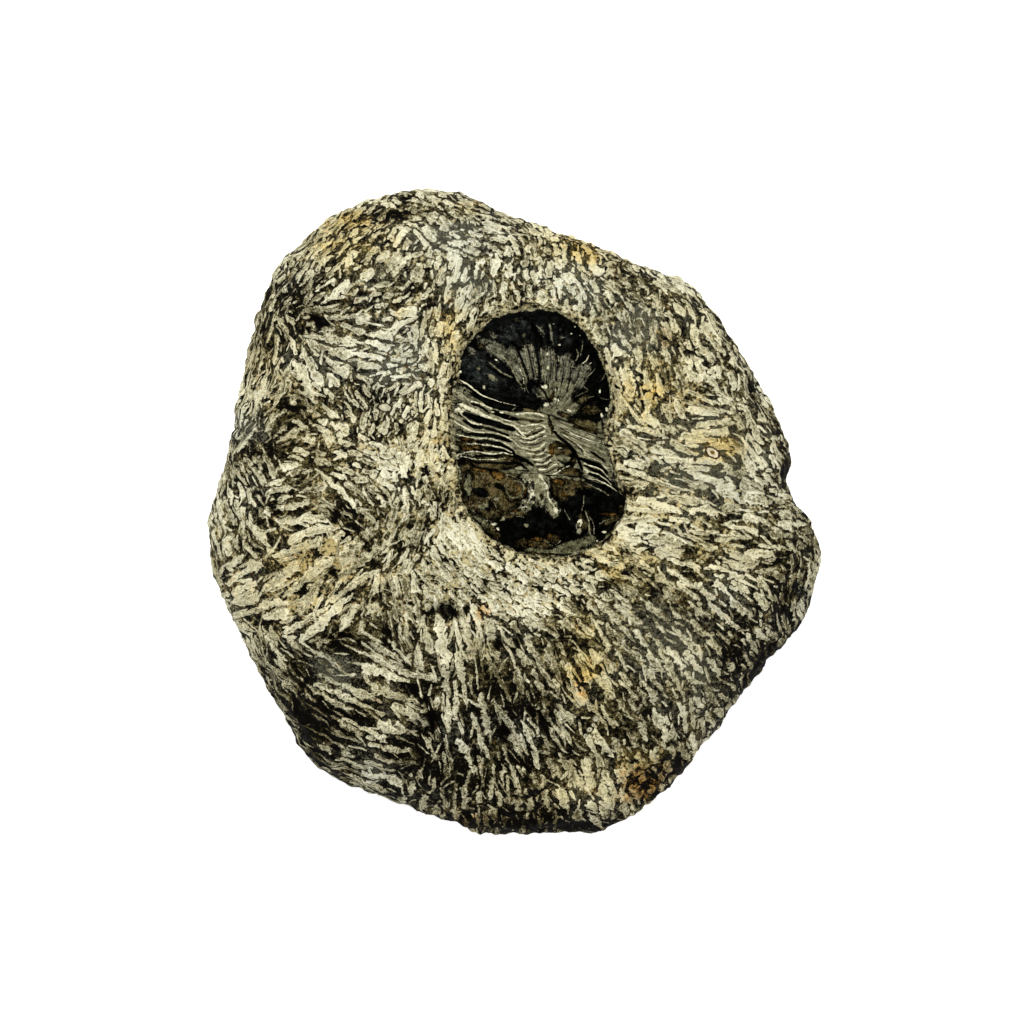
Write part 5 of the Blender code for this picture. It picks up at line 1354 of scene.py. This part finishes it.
def limestone():
    """Grey stone with dark gaps, whitened where a stroke bruised it, and stained."""
    f = Finish("chiselled_limestone", Specular_IOR_Level=0.03)
    fray = f.speckle(0.7, 5.0, 1.0, roughness=0.72)
    tear = f.speckle(0.5, 4.0, 15.0, roughness=0.7)
    grain = f.speckle(0.2, 2.0, 4.0)
    cloud = f.speckle(2.6, 4.0, 7.0)
    ripple = f.speckle(1.5, 2.0, 33.0)
    broad = f.speckle(12.0, 4.0, 2.0)
    # painted_shade darkens the stone and thins its strokes where the light would leave shade
    past, powder_and_light, painted_shade = f.field("past"), f.field("pale_powder_and_light"), f.field("painted_shade")
    slate, ochre, rust, straw = f.field("slate"), f.field("ochre"), f.field("rust"), f.field("straw")
    rim, lip = f.step(past, 1.3, 0.1), f.step(past + 0.8 * fray.swing, 0.8, 0.3)

    # The two strokes nearest to each place, the nearest last: how far they whiten it, and how they colour it.
    # the pale powder, partly painted light, widens the strokes; the painted shade narrows them
    reach_out = 0.9 + 0.1 * rim + 0.9 * powder_and_light - 0.9 * painted_shade - 0.3 * slate
    reach_out = reach_out + 2.4 * cloud.swing + 1.6 * broad.swing
    chalk, tone, streak, edge = 0.0, 0.5, 0.5, 0.5
    for name in ("mark_2", "mark_1"):
        along, across, own_tone = f.parts(name)
        along = along + 0.7 * tear.swing + cloud.swing
        across = across + 1.9 * fray.swing + 2.6 * ripple.swing
        square = along * along
        spread = square * square * square + across * across
        body = f.step(spread - reach_out, 0.14, -0.1)
        lay = (0.9 * along + 31.0 * own_tone, 2.0 * across, 17.0 * own_tone)
        groove = f.node("ShaderNodeCombineXYZ", i0=lay[0], i1=lay[1], i2=lay[2])
        own_streak = f.node("ShaderNodeTexNoise", Vector=groove, Scale=1.0, Detail=2.0)
        tone = f.blend(body, tone, own_tone)
        streak = f.blend(body, streak, own_streak)
        # edge: strokes grow paler towards their edges, partly the pale rim the tool leaves and partly a
        # painted highlight
        edge = f.blend(body, edge, f.step(spread, 0.1, 0.9))
        chalk = f.math("MAXIMUM", chalk, body)

    # Flakes and the lip round the hollow are whitened too, and pores and the painted shadow in pits take the
    # white away.
    flakes = f.step(cloud + 1.3 * fray.swing + 0.3 * powder_and_light - 0.3 * painted_shade, 0.58, 0.7)
    chalk = f.math("MAXIMUM", chalk, 0.7 * flakes)
    chalk = f.math("MAXIMUM", chalk, lip * f.step(cloud + 1.6 * fray.swing, 0.42, 0.6, 0.0, 0.85))
    pores = f.step(tear + 0.4 * grain.swing - 0.12 * painted_shade, 0.33, 0.4)
    # painted shadow: black on the floors of the pits
    pit_shadow = f.step(painted_shade + 1.3 * fray.swing + 0.9 * cloud.swing, 0.7, 0.85)
    chalk = chalk * (0.15 + 0.85 * pores) * (1 - 0.9 * pit_shadow)

    # The dark stone between the strokes.
    soot = f.step(cloud + 1.6 * fray.swing + 0.8 * grain.swing - 0.4 * painted_shade, 0.4, 0.62)
    dark = f.mix(soot, GAP_BLACK, GAP_BROWN)
    bare = f.step(broad + 1.4 * fray.swing + 0.6 * grain.swing + 0.5 * slate - 0.3 * painted_shade, 0.5, 0.7)
    grey = f.mix(f.step(tear + 0.6 * grain.swing, 0.36, 0.62), BARE_DARK, BARE_GREY)
    dark = f.mix(0.8 * bare, dark, grey)
    dark = f.mix(pit_shadow, dark, PIT_SHADOW)

    # The white of the strokes, paler at their edges, partly a painted highlight, and darker under the painted
    # shade.
    shade = 0.85 * streak + 0.34 * tone + 0.28 * edge + 0.8 * grain.swing + 1.5 * fray.swing - 0.35 * painted_shade
    shade = shade + 0.9 * broad.swing - 0.08
    pale = f.mix(f.step(shade, 0.2, 0.55), *CHALK[:2])
    pale = f.mix(f.step(shade, 0.5, 0.92), pale, CHALK[2])
    colour = f.mix(chalk, dark, pale)

    # Stains over both, and the shells cut through.
    colour = f.tinted(3.0 * chalk * (1 - chalk), colour, FRINGE)
    cool = f.step(broad + 0.6 * cloud.swing + 0.6 * slate, 0.52, 0.8)
    colour = f.tinted(0.5 * cool, colour, COOL)
    colour = f.tinted(0.25 * rim, colour, RIM)
    straw = straw * f.step(cloud + 0.8 * fray.swing, 0.25, 0.6, 0.35, 1.0)
    colour = f.tinted(straw, colour, STRAW)
    freckle = f.step(f.speckle(1.3, 4.0, 51.0, roughness=0.7), 0.58, 0.68) * (1 - 0.7 * chalk)
    colour = f.tinted(freckle, colour, FRECKLE)
    for stain, share, by in ((ochre, 0.7, OCHRE), (rust, 1.0, RUST)):
        warm = f.step(stain + 1.3 * fray.swing + cloud.swing, 0.2, 0.9)
        colour = f.tinted(share * warm, colour, by)
    for x, y, half_length, half_width, bearing, *colours in SHELL_BITS:
        away = f.away_from(x, y, half_length, half_width, bearing) + 0.7 * fray.swing
        for (start, whole), own in zip(BITS_BANDS, colours):
            colour = f.mix(f.step(away, start, whole), colour, own)
    height = chalk * (0.7 + 0.5 * streak) + 0.6 * fray + 0.3 * grain
    return f.done(colour, f.step(chalk, 0, 1, 0.75, 0.92), height, bump=0.9, depth=0.25)


# The bare black shell, and the lighter colour of its mottle, a painted sheen.
BARE_SHELL_AND_SHEEN = ((0.0004, 0.0004, 0.0003), (0.006, 0.0065, 0.005))
UMBER = ((0.001, 0.0007, 0.0002), (0.032, 0.023, 0.007), (0.105, 0.081, 0.032), (0.17, 0.145, 0.07))
# What lies over the bare shell: how much of it shows, how soft its edge is, how far it leans to its lighter
# colours, and its dark, middle and light colours.
SHELL_COVERS = {
    "slate": (0.9, 0.6, 0.0, (0.0007, 0.0009, 0.001), (0.009, 0.011, 0.0102), (0.042, 0.046, 0.035)),
    "worn": (1.0, 0.25, 0.02, (0.005, 0.005, 0.0025), (0.054, 0.052, 0.032), (0.17, 0.165, 0.113)),
    "olive": (1.0, 0.3, 0.02, (0.012, 0.012, 0.005), (0.07, 0.068, 0.034), (0.2, 0.19, 0.11)),
    "rust": (0.9, 0.3, 0.0, (0.005, 0.0022, 0.0004), (0.066, 0.034, 0.006), (0.185, 0.108, 0.028)),
    "ash": (1.0, 0.3, 0.02, (0.05, 0.046, 0.018), (0.22, 0.208, 0.115), (0.5, 0.475, 0.3)),
    "bone": (1.0, 0.25, 0.03, (0.15, 0.136, 0.068), (0.4, 0.378, 0.235), (0.68, 0.648, 0.462)),
    "sand": (1.0, 0.15, 0.0, (0.012, 0.01, 0.004), (0.12, 0.108, 0.055), (0.42, 0.39, 0.25)),
}


def shell(name, gloss, dusting):
    """Black shell that is worn, stained and crusted where its tints say. Dusting is how pale its ash is."""
    f = Finish(name, Specular_IOR_Level=0.006)
    mottle = f.speckle(0.9, 6.0, 3.0, roughness=0.68)
    fine = f.speckle(0.22, 3.0, 9.0)
    lay = f.node("ShaderNodeCombineXYZ", i0=0.35 * f.field("along"), i1=2.2 * f.field("across"))
    streak = f.node("ShaderNodeTexNoise", Vector=lay, Scale=1.0, Detail=4.0, Roughness=0.6)
    grit = 0.4 * mottle + 0.25 * fine + 0.35 * streak
    blotch = f.speckle(2.4, 5.0, 41.0, roughness=0.6)
    stain = 0.6 * blotch + 0.25 * mottle + 0.15 * fine
    thread = f.math("ABSOLUTE", f.speckle(1.5, 3.0, 27.0).swing)
    thread = f.step(thread + 0.1 * fine, 0.075, 0.05)

    def cover(tint, soft=0.2):
        ragged = f.field(tint) * (1 + 2.0 * mottle.swing + 1.6 * fine.swing)
        return f.step(ragged, 0.42, 0.42 + soft)

    def covered(colour, tint):
        share, soft, lean, *shades = SHELL_COVERS[tint]
        if tint == "ash":
            shades = [tuple(dusting * c for c in shade) for shade in shades]
        dark, middle, light = shades
        own = f.mix(f.step(grit, 0.42 - lean, 0.5 - lean), dark, middle)
        own = f.mix(f.step(grit, 0.5 - lean, 0.6 - lean), own, light)
        return f.mix(share * cover(tint, soft), colour, own)

    # the bare shell, mottled with a painted sheen
    colour = f.mix(f.step(grit + 0.3 * blotch.swing, 0.48, 0.66), *BARE_SHELL_AND_SHEEN)
    colour = covered(colour, "slate")
    umber = f.mix(f.step(stain, 0.42, 0.62), *UMBER[:2])
    umber = f.mix(f.step(stain + 0.5 * fine.swing, 0.5, 0.68), umber, UMBER[2])
    umber = f.mix(0.7 * thread * f.step(stain, 0.42, 0.52), umber, UMBER[3])
    colour = f.mix(cover("umber", 0.35), colour, umber)
    for tint in ("worn", "olive", "rust", "ash", "bone", "sand"):
        colour = covered(colour, tint)
    bone, sand = cover("bone", 0.25), cover("sand", 0.15)
    dull = f.math("MAXIMUM", f.math("MAXIMUM", bone, sand), f.math("MAXIMUM", cover("worn"), cover("umber")))
    height = 0.5 * mottle + 0.3 * fine + 0.5 * bone + 0.4 * streak
    return f.done(colour, f.step(dull, 0, 1, gloss, 0.75), height, bump=0.4, depth=0.12)


# ---- Studio -----------------------------------------------------------------------------------------------

VIEW_WIDTH = 176.85  # how wide a field the camera sees at the reference height
VIEW_HEIGHT_REFERENCE = 22.0
LENS, SENSOR = 300.0, 36.0
CLIP_END = 10  # in metres
# The lamps: place, size, and power in watts.
LAMPS = {
    "key_light": ((-60, 300, 600), 360, 4.4),
    "fill_light": ((-380, -260, 520), 500, 1.1),
    "rim_light": ((420, -80, 480), 500, 1.1),
}
LAMP_TARGET = Vector((0, 0, 0.02))  # in metres
SKY_STRENGTH = 0.36
FLOOR_HALF = 3.0  # in metres
PAPER = {
    "Base Color": (0.93, 0.93, 0.93, 1), "Roughness": 0.9,
    "Emission Color": (1, 1, 1, 1), "Emission Strength": 0.6,
}  # fmt: skip


def make_camera():
    """A camera that looks straight down on the block's middle."""
    camera = add("camera", bpy.data.cameras.new("camera"))
    camera.data.lens, camera.data.sensor_width = LENS, SENSOR
    camera.data.clip_end = CLIP_END
    camera.location.z = (VIEW_HEIGHT_REFERENCE + VIEW_WIDTH * LENS / SENSOR) * MM
    bpy.context.scene.camera = camera


def make_lights():
    """Three soft lamps and an even sky."""
    for name, (spot, size, power) in LAMPS.items():
        light = add(name, bpy.data.lights.new(name, "AREA"))
        light.data.size, light.data.energy = size * MM, power
        light.location = Vector(spot) * MM
        light.rotation_mode = "QUATERNION"
        light.rotation_quaternion = (LAMP_TARGET - light.location).to_track_quat("-Z", "Y")
    world = bpy.data.worlds.new("studio")
    world.use_nodes = True
    colour, strength = world.node_tree.nodes["Background"].inputs[:2]
    colour.default_value, strength.default_value = (1, 1, 1, 1), SKY_STRENGTH
    bpy.context.scene.world = world
    bpy.context.scene.view_settings.view_transform = "Standard"


def make_floor():
    """White paper under the block, lit a little so that it stays white."""
    paper = bpy.data.materials.new("floor_paper")
    paper.use_nodes = True
    for label, value in PAPER.items():
        paper.node_tree.nodes["Principled BSDF"].inputs[label].default_value = value
    floor = add("studio_floor", bpy.data.meshes.new("studio_floor"))
    h = FLOOR_HALF
    floor.data.from_pydata([(-h, -h, 0), (h, -h, 0), (h, h, 0), (-h, h, 0)], [], [(0, 1, 2, 3)])
    floor.data.materials.append(paper)


def main():
    make_camera()
    make_lights()
    make_floor()
    dress(make_block(limestone()), "matrix")
    outline = spread_out(TAIL_OUTER, TAIL_APEX, REACH_OUT) + margin(-MARGIN_CLEARANCE)
    make_shield("pygidium", TAIL_APEX, outline, sculpt_tail, shell("tail_black_shell", 0.3, 0.43))
    outline = spread_out(HEAD_OUTER, HEAD_CENTRE, REACH_OUT) + margin(1 + MARGIN_CLEARANCE)
    make_shield("cephalon", HEAD_CENTRE, outline, sculpt_head, shell("head_stained_shell", 0.3, 0.6))
    ringed_shell = shell("thorax_crusted_shell", 0.35, 0.57)
    for number in range(SEGMENTS):
        make_segment(number, ringed_shell)


main()
